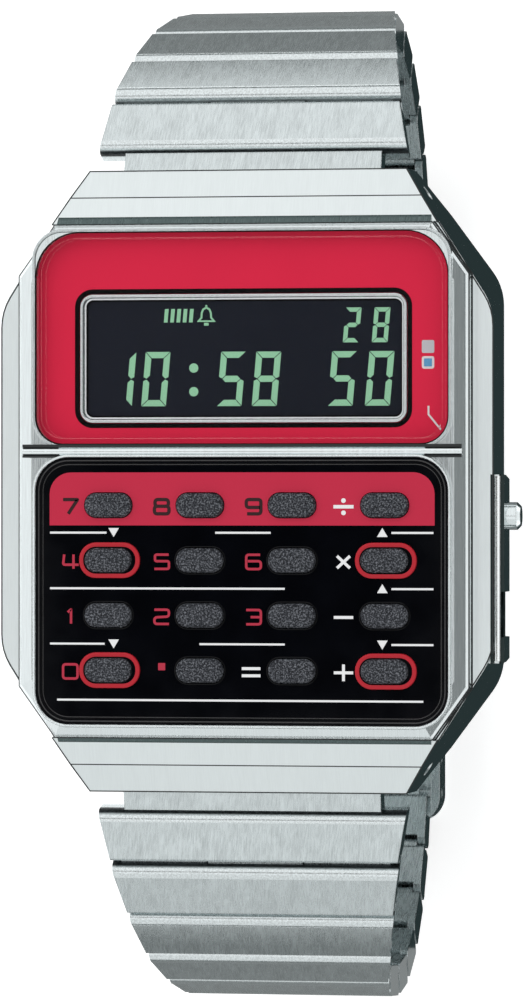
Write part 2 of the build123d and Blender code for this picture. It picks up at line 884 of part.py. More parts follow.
os.makedirs("parts", exist_ok=True)
for name, shape in all_parts().items():
    export_step(shape, f"parts/{name}.step")

print("12 side ends at", [round(v, 3) for v in chain(tilt_angles_12)[-1]])
print("6 side ends at", [round(v, 3) for v in chain(tilt_angles_6)[-1]])
print("levels: back", round(back_z, 3), "bar", round(bar_z, 3), "face", round(face_z, 3))
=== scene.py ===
"""A calculator watch on its closed link bracelet.

The case is of brushed steel, with a red display above a black keypad with sixteen keys. Sizes are in
millimetres unless a name says otherwise. +Z points out of the display, +Y towards 12 o'clock and +X
towards 3 o'clock, where the pushers are.
"""

import json
import logging
import math
from dataclasses import dataclass, field, replace
from enum import Enum

import bmesh
import bpy
from mathutils import Matrix, Vector

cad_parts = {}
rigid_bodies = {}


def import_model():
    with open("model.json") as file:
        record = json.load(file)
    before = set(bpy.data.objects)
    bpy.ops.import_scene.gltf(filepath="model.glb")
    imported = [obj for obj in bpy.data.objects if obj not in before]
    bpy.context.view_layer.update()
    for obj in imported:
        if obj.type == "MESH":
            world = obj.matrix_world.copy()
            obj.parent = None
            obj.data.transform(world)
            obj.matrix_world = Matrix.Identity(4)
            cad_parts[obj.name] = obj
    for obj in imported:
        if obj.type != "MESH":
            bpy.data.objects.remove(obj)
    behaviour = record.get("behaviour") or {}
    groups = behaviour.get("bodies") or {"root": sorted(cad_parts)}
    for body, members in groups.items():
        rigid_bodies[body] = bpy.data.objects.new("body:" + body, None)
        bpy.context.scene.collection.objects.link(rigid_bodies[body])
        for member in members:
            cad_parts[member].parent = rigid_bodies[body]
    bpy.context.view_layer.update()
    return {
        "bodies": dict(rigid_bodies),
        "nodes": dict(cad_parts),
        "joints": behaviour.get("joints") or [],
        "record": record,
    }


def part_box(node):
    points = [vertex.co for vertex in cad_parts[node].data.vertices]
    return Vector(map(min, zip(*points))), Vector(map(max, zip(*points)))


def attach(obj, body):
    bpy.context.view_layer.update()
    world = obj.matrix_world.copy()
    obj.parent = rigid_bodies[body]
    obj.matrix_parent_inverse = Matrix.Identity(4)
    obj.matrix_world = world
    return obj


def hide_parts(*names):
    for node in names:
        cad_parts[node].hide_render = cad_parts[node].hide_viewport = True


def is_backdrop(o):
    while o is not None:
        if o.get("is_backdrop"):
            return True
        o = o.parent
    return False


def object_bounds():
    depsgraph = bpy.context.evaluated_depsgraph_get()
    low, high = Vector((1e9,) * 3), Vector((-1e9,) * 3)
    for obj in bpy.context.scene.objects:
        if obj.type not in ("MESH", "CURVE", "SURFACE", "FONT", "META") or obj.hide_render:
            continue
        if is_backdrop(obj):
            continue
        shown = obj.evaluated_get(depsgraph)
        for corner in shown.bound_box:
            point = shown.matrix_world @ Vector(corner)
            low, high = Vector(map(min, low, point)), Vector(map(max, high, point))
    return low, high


MM = 0.001
MICRON = 0.001 * MM
SKIN = 0.008
PRINT = 0.012
Colour = tuple[float, float, float]
Point = tuple[float, float]
Socket = bpy.types.NodeSocket

log = logging.getLogger("watch")


def dim(tone: Colour, share: float) -> Colour:
    """Give a share of a colour's brightness."""
    return tuple(channel * share for channel in tone)


def rectangle(left: float, low: float, right: float, high: float) -> list[Point]:
    """Give the corners of an upright rectangle."""
    return [(left, low), (right, low), (right, high), (left, high)]


# Measuring the frame

@dataclass
class Span:
    """The lowest and highest corner of one node, in millimetres."""

    low: Vector
    high: Vector

    @classmethod
    def of(cls, node: str) -> "Span":
        """Measure a node of the frame."""
        low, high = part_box(node)
        return cls(low / MM, high / MM)

    @property
    def middle(self) -> Vector:
        """The point halfway between both corners."""
        return (self.low + self.high) / 2

    @property
    def size(self) -> Vector:
        """Width, length and height."""
        return self.high - self.low


# Shapes

@dataclass
class Outline:
    """A rectangle with round corners, seen from the display side."""

    width: float
    length: float
    radius: float
    middle: Point = (0.0, 0.0)
    corner_steps: int = 8
    upper_radius: float = 0.0

    @classmethod
    def of(cls, node: str, radius: float, steps: int = 8, grow: float = 0.0) -> "Outline":
        """Take the outline of a node, made larger all round by some millimetres.

        Args:
            node: The node.
            radius: The radius of its corners.
            steps: Faces round each corner.
            grow: How much larger than the node the outline is, on each side.

        Returns:
            The outline.
        """
        span = Span.of(node)
        middle = (span.middle.x, span.middle.y)
        return cls(span.size.x + 2 * grow, span.size.y + 2 * grow, radius + grow, middle, steps)

    def loop(self, inset: float = 0.0) -> list[Point]:
        """Work out the outline, drawn in all round.

        Args:
            inset: How far inside the outline the loop lies.

        Returns:
            The points of the loop, anticlockwise.
        """
        points = []
        for quarter, (sx, sy) in enumerate(((1, 1), (-1, 1), (-1, -1), (1, -1))):
            full = self.upper_radius if sy > 0 and self.upper_radius else self.radius
            radius = max(full - inset, 0.02)
            across = self.width / 2 - inset - radius
            along = self.length / 2 - inset - radius
            for step in range(self.corner_steps + 1):
                angle = math.radians(90 * (quarter + step / self.corner_steps))
                x = self.middle[0] + sx * across + radius * math.cos(angle)
                y = self.middle[1] + sy * along + radius * math.sin(angle)
                points.append((x, y))
        return points


@dataclass
class CutOutline:
    """A rectangle with its corners cut off, seen from the display side."""

    width: float
    length: float
    run: float
    step: float
    bend: float = 0.05

    def loop(self, inset: float = 0.0) -> list[Point]:
        """Work out the outline, drawn in all round.

        Args:
            inset: How far inside the outline the loop lies.

        Returns:
            The points of the loop, anticlockwise.
        """
        x, y = self.width / 2 - inset, self.length / 2 - inset
        side, end = self.length / 2 - self.run - inset / 2, self.width / 2 - self.step - inset / 2
        points = [(x, side), (end, y), (-end, y), (-x, side), (-x, -side), (-end, -y), (end, -y), (x, -side)]
        return soften(points, self.bend, True)


def crest(inset: float, width: float, foot: float, rise: float, steps: int = 8) -> list[Point]:
    """Give the profile of a rounded ridge, as pairs of inset and height.

    Args:
        inset: The inset at which the ridge starts.
        width: How wide it is.
        foot: The height of its foot.
        rise: How far it stands above its foot.
        steps: Faces over its arch.

    Returns:
        The pairs, from one foot of the ridge to the other.
    """
    pairs = []
    for step in range(steps + 1):
        angle = math.pi * step / steps
        pairs.append((inset + width / 2 - width / 2 * math.cos(angle), foot + rise * math.sin(angle)))
    return pairs


def flat(inset: float, width: float, foot: float, top: float) -> list[Point]:
    """Give the profile of a flat strip, as pairs of inset and height."""
    return [(inset, foot), (inset, top), (inset + width, top), (inset + width, foot)]


def soften(points: list[Point], radius: float, closed: bool, steps: int = 4) -> list[Point]:
    """Round the corners of a stroke.

    Args:
        points: The corners of the stroke.
        radius: How far from each corner the rounding starts.
        closed: Whether the last point joins the first.
        steps: Points put in at each corner.

    Returns:
        The stroke with its corners rounded.
    """
    count = len(points)
    rounded = []
    for index, point in enumerate(points):
        if not closed and index in (0, count - 1):
            rounded.append(point)
            continue
        corner = Vector(point)
        before = Vector(points[index - 1]) - corner
        after = Vector(points[(index + 1) % count]) - corner
        start = corner + before.normalized() * min(radius, before.length * 0.45)
        end = corner + after.normalized() * min(radius, after.length * 0.45)
        for step in range(steps + 1):
            share = step / steps
            bend = start.lerp(corner, share).lerp(corner.lerp(end, share), share)
            rounded.append((bend.x, bend.y))
    return rounded


def stroke_sides(points: list[Point], width: float, closed: bool) -> tuple[list[Point], list[Point]]:
    """Work out both sides of a stroke of even width.

    Args:
        points: The middle line of the stroke.
        width: How wide the stroke is.
        closed: Whether the last point joins the first.

    Returns:
        The points along the left side and along the right side.
    """
    left, right = [], []
    count = len(points)
    for index, point in enumerate(points):
        here = Vector(point)
        before = Vector(points[index - 1]) if closed or index else None
        after = Vector(points[(index + 1) % count]) if closed or index < count - 1 else None
        into = (here - before).normalized() if before is not None else (after - here).normalized()
        away = (after - here).normalized() if after is not None else into
        way = (into + away).normalized()
        normal = Vector((-way.y, way.x))
        stretch = 1 / max(way.dot(into), 0.5)
        shift = normal * width / 2 * stretch
        left.append((here.x + shift.x, here.y + shift.y))
        right.append((here.x - shift.x, here.y - shift.y))
    return left, right


class Builder:
    """Collects the faces of one piece and turns them into an object that rides on a body."""

    def __init__(self, name: str) -> None:
        """Start a piece with that name."""
        self.name = name
        self.mesh = bmesh.new()

    def ring(self, points: list[Vector]) -> list[bmesh.types.BMVert]:
        """Add one loop of points, given in millimetres."""
        return [self.mesh.verts.new(point * MM) for point in points]

    def level(self, points: list[Point], height: float) -> list[bmesh.types.BMVert]:
        """Add one loop of points that all lie at one height."""
        return self.ring([Vector((x, y, height)) for x, y in points])

    def close(self, first: list, last: list) -> None:
        """Close both ends of a run of loops with a face."""
        self.mesh.faces.new(last)
        self.mesh.faces.new(list(reversed(first)))

    def bridge(self, first: list, second: list, closed: bool = True) -> None:
        """Join two loops with the same number of points by a strip of faces.

        Args:
            first: The first loop.
            second: The second loop.
            closed: Whether each loop's last point joins its first.
        """
        count = len(first)
        for index in range(count if closed else count - 1):
            following = (index + 1) % count
            self.mesh.faces.new((first[index], first[following], second[following], second[index]))

    def loft(self, outline: Outline | CutOutline, profile: list[Point],
             tube: bool = False, lid: bool = False) -> None:
        """Carry a profile round an outline.

        Args:
            outline: The outline that the profile follows.
            profile: Pairs of inset and height.
            tube: Whether the last pair joins the first, as in a frame.
            lid: Whether the first and the last loop are closed by a face.
        """
        loops = [self.level(outline.loop(inset), height) for inset, height in profile]
        for first, second in zip(loops, loops[1:]):
            self.bridge(first, second)
        if tube:
            self.bridge(loops[-1], loops[0])
        if lid:
            self.close(loops[0], loops[-1])

    def plate(self, points: list[Point], low: float, high: float) -> None:
        """Add a flat plate with a given outline between two heights.

        Args:
            points: The corners of the plate.
            low: The height of its underside.
            high: The height of its top.
        """
        under, over = self.level(points, low), self.level(points, high)
        self.bridge(under, over)
        self.close(under, over)

    def stroke(self, points: list[Point], width: float, low: float, high: float,
               closed: bool = False) -> None:
        """Add a raised stroke of even width.

        Args:
            points: The middle line of the stroke.
            width: How wide the stroke is.
            low: Where its foot is.
            high: Where its top is.
            closed: Whether the last point joins the first.
        """
        left, right = stroke_sides(points, width, closed)
        corners = ((left, low), (left, high), (right, high), (right, low))
        rows = [self.level(side, height) for side, height in corners]
        for index in range(4):
            self.bridge(rows[index], rows[(index + 1) % 4], closed)
        if not closed:
            self.mesh.faces.new([row[0] for row in rows])
            self.mesh.faces.new([row[-1] for row in reversed(rows)])

    def bar(self, section: list[Point], start: float, end: float, axis: str) -> None:
        """Draw a section out along X or Y.

        Args:
            section: The points of the section, as the other level axis and the height.
            start: Where the bar starts.
            end: Where it ends.
            axis: The axis that it runs along.
        """
        ends = []
        for place in (start, end):
            if axis == "X":
                points = [Vector((place, across, height)) for across, height in section]
            else:
                points = [Vector((across, place, height)) for across, height in section]
            ends.append(self.ring(points))
        self.bridge(*ends)
        self.close(*ends)

    def wire(self, points: list[Vector], radius: float) -> None:
        """Lay a round wire along a closed line of points.

        Args:
            points: The middle line of the wire.
            radius: Half its thickness.
        """
        curve = bpy.data.curves.new(self.name, "CURVE")
        curve.dimensions = "3D"
        curve.bevel_depth = radius * MM
        curve.bevel_resolution = 1
        spline = curve.splines.new("POLY")
        spline.points.add(len(points) - 1)
        for target, point in zip(spline.points, points):
            target.co = (*(point * MM), 1.0)
        spline.use_cyclic_u = True
        self.absorb(curve)

    def absorb(self, curve: bpy.types.Curve, rise: float = 0.0) -> None:
        """Turn a curve into faces of this piece, and remove it.

        Args:
            curve: The curve.
            rise: How far the piece is lifted after that.
        """
        holder = bpy.data.objects.new(self.name, curve)
        bpy.context.scene.collection.objects.link(holder)
        bpy.context.view_layer.update()
        mesh = bpy.data.meshes.new_from_object(holder.evaluated_get(bpy.context.evaluated_depsgraph_get()))
        bpy.data.objects.remove(holder)
        self.mesh.from_mesh(mesh)
        bpy.data.meshes.remove(mesh)
        bmesh.ops.remove_doubles(self.mesh, verts=self.mesh.verts, dist=MICRON)
        bmesh.ops.translate(self.mesh, verts=self.mesh.verts, vec=Vector((0, 0, rise * MM)))

    def finish(self, kit: "Kit", finish: object, slot: str, body: str = "case",
               smooth: float = 35.0) -> bpy.types.Object:
        """Close the piece, dress it and hang it on its body.

        Args:
            finish: What the piece is dressed in.
            slot: The record's slot for that finish; not used.
            body: The body that the piece rides on.
            smooth: Edges that fold by less than this angle are shaded smooth.

        Returns:
            The new object.
        """
        bmesh.ops.recalc_face_normals(self.mesh, faces=self.mesh.faces)
        limit = math.radians(smooth)
        for face in self.mesh.faces:
            face.smooth = True
        for edge in self.mesh.edges:
            edge.smooth = edge.is_manifold and edge.calc_face_angle() < limit
        data = bpy.data.meshes.new(self.name)
        self.mesh.to_mesh(data)
        self.mesh.free()
        piece = bpy.data.objects.new(self.name, data)
        bpy.context.scene.collection.objects.link(piece)
        data.materials.append(kit.material(finish))
        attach(piece, body)
        log.info("%s: %d faces", self.name, len(data.polygons))
        return piece


# Finishes

class Recipe:
    """A material's node tree, with a short call for each kind of node that the finishes use."""

    def __init__(self, name: str) -> None:
        """Start an empty material with one surface shader.

        Args:
            name: The material's name.
        """
        self.material = bpy.data.materials.new(name)
        self.material.use_nodes = True
        self.tree = self.material.node_tree
        self.tree.nodes.clear()
        self.output = self.add("OutputMaterial")
        self.shader = self.add("BsdfPrincipled")
        self.join(self.shader.outputs[0], self.output.inputs["Surface"])
        self.place = self.add("TexCoord")

    def add(self, kind: str) -> bpy.types.Node:
        """Add a node of one kind."""
        return self.tree.nodes.new("ShaderNode" + kind)

    def join(self, value: object, socket: Socket) -> None:
        """Feed a socket from another socket, or set it to a plain value.

        Args:
            value: A socket, a colour or a number.
            socket: The socket that is fed.
        """
        if isinstance(value, bpy.types.NodeSocket):
            self.tree.links.new(value, socket)
        elif isinstance(value, tuple) and len(value) == 3 and socket.type == "RGBA":
            socket.default_value = (*value, 1.0)
        else:
            socket.default_value = value

    def set(self, **values: object) -> None:
        """Set inputs of the surface shader, with words joined by underscores.

        Args:
            values: A socket, a colour or a number for each input.
        """
        for words, value in values.items():
            name = words.replace("_", " ")
            if name not in self.shader.inputs:
                name = name.title().replace("Ior", "IOR")
            self.join(value, self.shader.inputs[name])

    def math(self, operation: str, first: object, second: object = 0.0) -> Socket:
        """Combine two numbers.

        Args:
            operation: What is done with them.
            first: The first number.
            second: The second number.

        Returns:
            The result.
        """
        node = self.add("Math")
        node.operation = operation
        self.join(first, node.inputs[0])
        self.join(second, node.inputs[1])
        return node.outputs[0]

    def weigh(self, first: object, share: float, second: object) -> Socket:
        """Add two numbers, the first with a share and the second with the rest."""
        rest = round(1 - share, 6)
        return self.math("ADD", self.math("MULTIPLY", first, share), self.math("MULTIPLY", second, rest))

    def scaled(self, across: float, along: float, deep: float, slant: float = 0.0) -> Socket:
        """Give object coordinates scaled along each axis.

        Args:
            across: Millimetres of one unit along X.
            along: Millimetres of one unit along Y.
            deep: Millimetres of one unit along Z.
            slant: How far the pattern leans, in degrees about Z.

        Returns:
            The scaled coordinates.
        """
        turn = self.add("VectorRotate")
        turn.rotation_type = "Z_AXIS"
        turn.inputs["Angle"].default_value = math.radians(slant)
        self.join(self.place.outputs["Object"], turn.inputs["Vector"])
        node = self.add("VectorMath")
        node.operation = "MULTIPLY"
        self.join(turn.outputs[0], node.inputs[0])
        node.inputs[1].default_value = (1 / (across * MM), 1 / (along * MM), 1 / (deep * MM))
        return node.outputs[0]

    def noise(self, vector: object, detail: float, roughness: float, shift: float = 0.0) -> Socket:
        """Give a smooth random number between 0 and 1 at each place.

        Args:
            vector: The place, in units of the pattern.
            detail: How many finer layers are added.
            roughness: How strong the finer layers are.
            shift: Which of many like patterns is taken.

        Returns:
            The random number.
        """
        node = self.add("TexNoise")
        node.noise_dimensions = "4D"
        self.join(vector, node.inputs["Vector"])
        for name, value in (("W", shift), ("Scale", 1.0), ("Detail", detail), ("Roughness", roughness)):
            node.inputs[name].default_value = value
        return node.outputs["Fac"]

    def grain(self, size: float, detail: float, roughness: float, shift: float = 0.0) -> Socket:
        """Give noise whose spots are equally large along every axis."""
        return self.noise(self.scaled(size, size, size), detail, roughness, shift)

    def spread(self, value: object, low: float, high: float,
               bottom: float = 0.0, top: float = 1.0) -> Socket:
        """Map a range of one number onto another range, held at both ends.

        Args:
            value: The number.
            low: The start of the first range.
            high: The end of the first range.
            bottom: The start of the second range.
            top: The end of the second range.

        Returns:
            The mapped number.
        """
        node = self.add("MapRange")
        self.join(value, node.inputs["Value"])
        for name, bound in (("From Min", low), ("From Max", high), ("To Min", bottom), ("To Max", top)):
            node.inputs[name].default_value = bound
        return node.outputs["Result"]

    def blend(self, share: object, first: object, second: object) -> Socket:
        """Mix two colours by a share.

        Args:
            share: The share of the second colour.
            first: The first colour.
            second: The second colour.

        Returns:
            The mixed colour.
        """
        node = self.add("Mix")
        node.data_type = "RGBA"
        self.join(share, node.inputs[0])
        self.join(first, node.inputs[6])
        self.join(second, node.inputs[7])
        return node.outputs[2]

    def axis(self, vector: object, letter: str) -> Socket:
        """Take X, Y or Z out of a vector.

        Args:
            vector: The vector.
            letter: X, Y or Z.

        Returns:
            That part of the vector.
        """
        node = self.add("SeparateXYZ")
        self.join(vector, node.inputs[0])
        return node.outputs[letter]

    def relief(self, height: object, strength: float, depth: float, edge: float = 0.0) -> Socket:
        """Raise the surface by a pattern, and round its sharp edges.

        Args:
            height: The pattern, from 0 to 1.
            strength: How much of it shows.
            depth: Its depth in millimetres.
            edge: The radius of the rounding at sharp edges, in millimetres.

        Returns:
            The normal to feed to the shader.
        """
        bump = self.add("Bump")
        self.join(height, bump.inputs["Height"])
        bump.inputs["Strength"].default_value = strength
        bump.inputs["Distance"].default_value = depth * MM
        if edge:
            bevel = self.add("Bevel")
            bevel.samples = 4
            bevel.inputs["Radius"].default_value = edge * MM
            self.join(bevel.outputs[0], bump.inputs["Normal"])
        return bump.outputs[0]


@dataclass(frozen=True)
class BrushedSteel:
    """Steel with fine brush marks along the band, polished where its faces stand steep."""

    name: str
    tone: Colour = (0.74, 0.81, 0.82)
    roughness: float = 0.26
    mark_width: float = 0.07
    mark_length: float = 1.5
    contrast: float = 0.22
    edge: float = 0.09
    steep: float = -1.0
    polish: float = 0.07
    slant: float = 0.0
    relief: float = 0.35
    sides: float = 1.5

    def make(self) -> bpy.types.Material:
        """Build the material.

        Returns:
            The material.
        """
        recipe = Recipe(self.name)
        fine = (self.mark_width, self.mark_length, self.mark_length, self.slant)
        wide = (self.mark_width * 9, self.mark_length * 2, self.mark_length * 2, self.slant)
        marks = recipe.noise(recipe.scaled(*fine), 3.0, 0.6)
        broad = recipe.noise(recipe.scaled(*wide), 2.0, 0.5, 4.0)
        both = recipe.weigh(marks, 0.7, broad)
        shade = recipe.spread(both, 0.34, 0.66, 1 - self.contrast, 1 + self.contrast / 3)
        steepness = recipe.math("ABSOLUTE", recipe.axis(recipe.place.outputs["Normal"], "Z"))
        brushed = recipe.spread(steepness, self.steep, self.steep + 0.08)
        sideways = recipe.math("ABSOLUTE", recipe.axis(recipe.place.outputs["Normal"], "X"))
        facing = recipe.spread(sideways, self.sides, self.sides + 0.1, 1.0, 0.0)
        brushed = recipe.math("MINIMUM", brushed, facing)
        dark = dim(self.tone, 1 - self.contrast)
        colour = recipe.blend(recipe.spread(both, 0.36, 0.62), dark, self.tone)
        rough = recipe.math("MULTIPLY", shade, self.roughness)
        mirror = recipe.spread(broad, 0.3, 0.7, self.polish * 0.8, self.polish * 1.3)
        kept = recipe.math("ADD", recipe.math("MULTIPLY", rough, brushed),
                           recipe.math("MULTIPLY", mirror, recipe.math("SUBTRACT", 1.0, brushed)))
        recipe.set(Base_Color=recipe.blend(brushed, self.tone, colour), Metallic=1.0, Roughness=kept)
        height = recipe.math("MULTIPLY", both, brushed)
        recipe.set(Normal=recipe.relief(height, self.relief, 0.012, self.edge))
        return recipe.material


@dataclass(frozen=True)
class PolishedSteel:
    """Bright steel with only faint waves and hairlines."""

    name: str
    tone: Colour = (0.80, 0.86, 0.87)
    roughness: float = 0.06
    wave: float = 3.0
    edge: float = 0.05

    def make(self) -> bpy.types.Material:
        """Build the material.

        Returns:
            The material.
        """
        recipe = Recipe(self.name)
        waves = recipe.grain(self.wave, 2.0, 0.4)
        hair = recipe.noise(recipe.scaled(0.08, 2.5, 2.5), 2.0, 0.6, 2.0)
        rough = recipe.spread(hair, 0.35, 0.7, self.roughness * 0.7, self.roughness * 1.6)
        soft = dim(self.tone, 0.93)
        colour = recipe.blend(recipe.spread(hair, 0.35, 0.65), soft, self.tone)
        recipe.set(Base_Color=colour, Metallic=1.0, Roughness=rough)
        recipe.set(Normal=recipe.relief(waves, 0.1, 0.02, self.edge))
        return recipe.material


@dataclass(frozen=True)
class CastBead:
    """The rolled near edge of a link: smooth on top; rough where it dips into the gap, and painted dark there
    as shade.
    """

    name: str
    tone: Colour = (0.80, 0.86, 0.87)
    # tone painted on the bead as shade where it dips into the gap
    shade: Colour = (0.075, 0.085, 0.09)
    grain: float = 0.13

    def make(self) -> bpy.types.Material:
        """Build the material.

        Returns:
            The material.
        """
        recipe = Recipe(self.name)
        grain = recipe.grain(self.grain, 3.0, 0.65)
        facing = recipe.axis(recipe.place.outputs["Normal"], "Y")
        half = recipe.math("SIGN", recipe.axis(recipe.place.outputs["Object"], "Y"))
        inward = recipe.math("MULTIPLY", facing, half)
        # painted shade: the bead turns dark where its face turns back into the gap towards the case
        gap = recipe.spread(inward, -0.66, -0.44, 1.0, 0.0)
        soft = dim(self.tone, 0.8)
        pale = recipe.blend(recipe.spread(grain, 0.4, 0.6), soft, self.tone)
        deep_shade = dim(self.shade, 0.35)
        dark = recipe.blend(recipe.spread(grain, 0.42, 0.6), deep_shade, self.shade)
        rough = recipe.spread(gap, 0.0, 1.0, 0.2, 0.42)
        recipe.set(Base_Color=recipe.blend(gap, pale, dark), Metallic=1.0, Roughness=rough)
        height = recipe.math("MULTIPLY", grain, recipe.spread(gap, 0.0, 1.0, 0.15, 1.0))
        recipe.set(Normal=recipe.relief(height, 0.6, 0.05))
        return recipe.material


@dataclass(frozen=True)
class ClearCrystal:
    """Clear mineral glass that lets the lamps reach the sheet below it."""

    name: str
    tint: Colour = (0.985, 0.965, 0.97)

    def make(self) -> bpy.types.Material:
        """Build the material.

        Returns:
            The material.
        """
        recipe = Recipe(self.name)
        faint = recipe.grain(6.0, 1.0, 0.3)
        cool = dim(self.tint, 0.985)
        colour = recipe.blend(faint, self.tint, cool)
        recipe.set(Base_Color=colour, Roughness=0.0, IOR=1.5, Transmission_Weight=1.0)
        path = recipe.add("LightPath")
        clear = recipe.add("BsdfTransparent")
        recipe.join(self.tint, clear.inputs["Color"])
        either = recipe.math("MAXIMUM", path.outputs["Is Shadow Ray"], path.outputs["Is Diffuse Ray"])
        mix = recipe.add("MixShader")
        recipe.join(either, mix.inputs[0])
        recipe.join(recipe.shader.outputs[0], mix.inputs[1])
        recipe.join(clear.outputs[0], mix.inputs[2])
        recipe.join(mix.outputs[0], recipe.output.inputs["Surface"])
        return recipe.material


@dataclass(frozen=True)
class SatinPrint:
    """An even printed or painted colour with a fine grain of its own."""

    name: str
    tone: Colour
    roughness: float = 0.4
    grain: float = 0.12
    depth: float = 0.06
    shine: float = 0.5

    def make(self) -> bpy.types.Material:
        """Build the material.

        Returns:
            The material.
        """
        recipe = Recipe(self.name)
        grain = recipe.grain(self.grain, 3.0, 0.6)
        cloud = recipe.grain(5.0, 1.0, 0.4, 3.0)
        both = recipe.weigh(grain, 0.6, cloud)
        dark = dim(self.tone, 1 - self.depth)
        recipe.set(Base_Color=recipe.blend(recipe.spread(both, 0.35, 0.65), dark, self.tone),
                   Roughness=recipe.spread(grain, 0.3, 0.7, self.roughness * 0.85, self.roughness * 1.15))
        recipe.set(Specular_IOR_Level=self.shine, Normal=recipe.relief(grain, 0.15, 0.01))
        return recipe.material


@dataclass(frozen=True)
class GlossPanel:
    """Black glossy plastic with a trace of moulding waves."""

    name: str
    tone: Colour = (0.0009, 0.0011, 0.0019)
    roughness: float = 0.07
    edge: float = 0.06
    shine: float = 0.2

    def make(self) -> bpy.types.Material:
        """Build the material.

        Returns:
            The material.
        """
        recipe = Recipe(self.name)
        waves = recipe.grain(2.5, 2.0, 0.5)
        lift = dim(self.tone, 1.5)
        recipe.set(Base_Color=recipe.blend(recipe.spread(waves, 0.35, 0.65), self.tone, lift),
                   Roughness=recipe.spread(waves, 0.3, 0.7, self.roughness * 0.8, self.roughness * 1.2))
        recipe.set(Normal=recipe.relief(waves, 0.05, 0.01, self.edge), Specular_IOR_Level=self.shine)
        return recipe.material


@dataclass(frozen=True)
class GrainedRubber:
    """Hard rubber with a pebbled skin: light specks on dark grey."""

    name: str
    tone: Colour = (0.024, 0.027, 0.034)
    speck: Colour = (0.165, 0.175, 0.195)
    pebble: float = 0.115

    def make(self) -> bpy.types.Material:
        """Build the material.

        Returns:
            The material.
        """
        recipe = Recipe(self.name)
        pebbles = recipe.grain(self.pebble, 3.0, 0.65)
        dark = dim(self.tone, 0.25)
        colour = recipe.blend(recipe.spread(pebbles, 0.36, 0.5), dark, self.tone)
        colour = recipe.blend(recipe.spread(pebbles, 0.5, 0.62), colour, self.speck)
        rough = recipe.spread(pebbles, 0.3, 0.7, 0.7, 0.5)
        recipe.set(Base_Color=colour, Roughness=rough, Specular_IOR_Level=0.2)
        recipe.set(Normal=recipe.relief(pebbles, 0.9, 0.08, 0.22))
        return recipe.material


@dataclass(frozen=True)
class LcdGlass:
    """The dark polariser of the display, with a painted reflection that makes it a trace lighter towards its
    left side.
    """

    name: str
    tone: Colour = (0.005, 0.008, 0.015)
    # tone of the painted reflection at the left side
    bright: Colour = (0.008, 0.011, 0.019)
    half_width: float = 11.0

    def make(self) -> bpy.types.Material:
        """Build the material.

        Returns:
            The material.
        """
        recipe = Recipe(self.name)
        half = self.half_width * MM
        # painted reflection: the panel grows lighter towards its left side
        sheen_slide = recipe.spread(recipe.axis(recipe.place.outputs["Object"], "X"), -half, half)
        grain = recipe.grain(0.2, 2.0, 0.5)
        share = recipe.weigh(sheen_slide, 0.8, grain)
        rough = recipe.spread(grain, 0.3, 0.7, 0.28, 0.36)
        recipe.set(Base_Color=recipe.blend(share, self.bright, self.tone), Roughness=rough)
        recipe.set(Specular_IOR_Level=0.15)
        return recipe.material


# Print on the keypad and the display

class Ink(Enum):
    """The inks that the keypad is printed with."""

    BLACK = (0.022, 0.002, 0.004)
    RED = (0.44, 0.02, 0.05)
    WHITE = (0.80, 0.81, 0.82)


@dataclass(frozen=True)
class Glyph:
    """A sign drawn with strokes in a cell one unit wide and one unit high."""

    strokes: tuple[tuple[tuple[Point, ...], bool], ...]
    width: float = 1.02
    height: float = 0.98
    soft: float = 0.2

    def draw(self, builder: Builder, middle: Point, pen: float, low: float, high: float) -> None:
        """Add the sign to a piece.

        Args:
            builder: The piece that the sign goes into.
            middle: The middle of the sign.
            pen: The width of its strokes.
            low: The height of the surface that it is printed on.
            high: The height of its top.
        """
        for number, (cell, closed) in enumerate(self.strokes):
            points = []
            for across, up in cell:
                points.append((middle[0] + (across - 0.5) * self.width, middle[1] + (up - 0.5) * self.height))
            lift = number * 0.002
            builder.stroke(soften(points, self.soft, closed), pen, low, high + lift, closed)


KEY_SIGNS: dict[str, Glyph] = {
    "0": Glyph(((((0, 0), (1, 0), (1, 1), (0, 1)), True),)),
    "1": Glyph(((((0.32, 0.8), (0.55, 1), (0.55, 0)), False),), soft=0.03),
    "2": Glyph(((((0, 1), (1, 1), (1, 0.52), (0, 0.46), (0, 0), (1, 0)), False),)),
    "3": Glyph(((((0, 1), (1, 1), (1, 0), (0, 0)), False), (((0.3, 0.5), (0.95, 0.5)), False))),
    "4": Glyph(((((0.08, 1), (0, 0.28), (1.08, 0.28)), False), (((0.72, 1), (0.72, 0)), False)), soft=0.14),
    "5": Glyph(((((0.98, 1), (0.04, 1), (0.04, 0.54), (1, 0.54), (1, 0), (0, 0)), False),), soft=0.14),
    "6": Glyph(((((0.95, 1), (0, 1), (0, 0), (1, 0), (1, 0.55), (0.06, 0.55)), False),)),
    "7": Glyph(((((0, 1), (1, 1), (0.36, 0)), False),), soft=0.05),
    "8": Glyph((
        (((0.04, 1), (0.96, 1), (0.96, 0.53), (0.04, 0.53)), True),
        (((0, 0), (0, 0.53), (1, 0.53), (1, 0)), True),
    )),
    "9": Glyph(((((0.94, 0.45), (0, 0.45), (0, 1), (1, 1), (1, 0), (0.06, 0)), False),)),
    "minus": Glyph(((((-0.16, 0.5), (1.16, 0.5)), False),)),
    "plus": Glyph(((((-0.16, 0.5), (1.16, 0.5)), False), (((0.5, -0.02), (0.5, 1.02)), False)), height=1.1),
    "multiply": Glyph(((((0.06, 0.08), (0.94, 0.92)), False), (((0.06, 0.92), (0.94, 0.08)), False))),
    "equals": Glyph(((((-0.14, 0.26), (1.14, 0.26)), False), (((-0.14, 0.76), (1.14, 0.76)), False))),
}


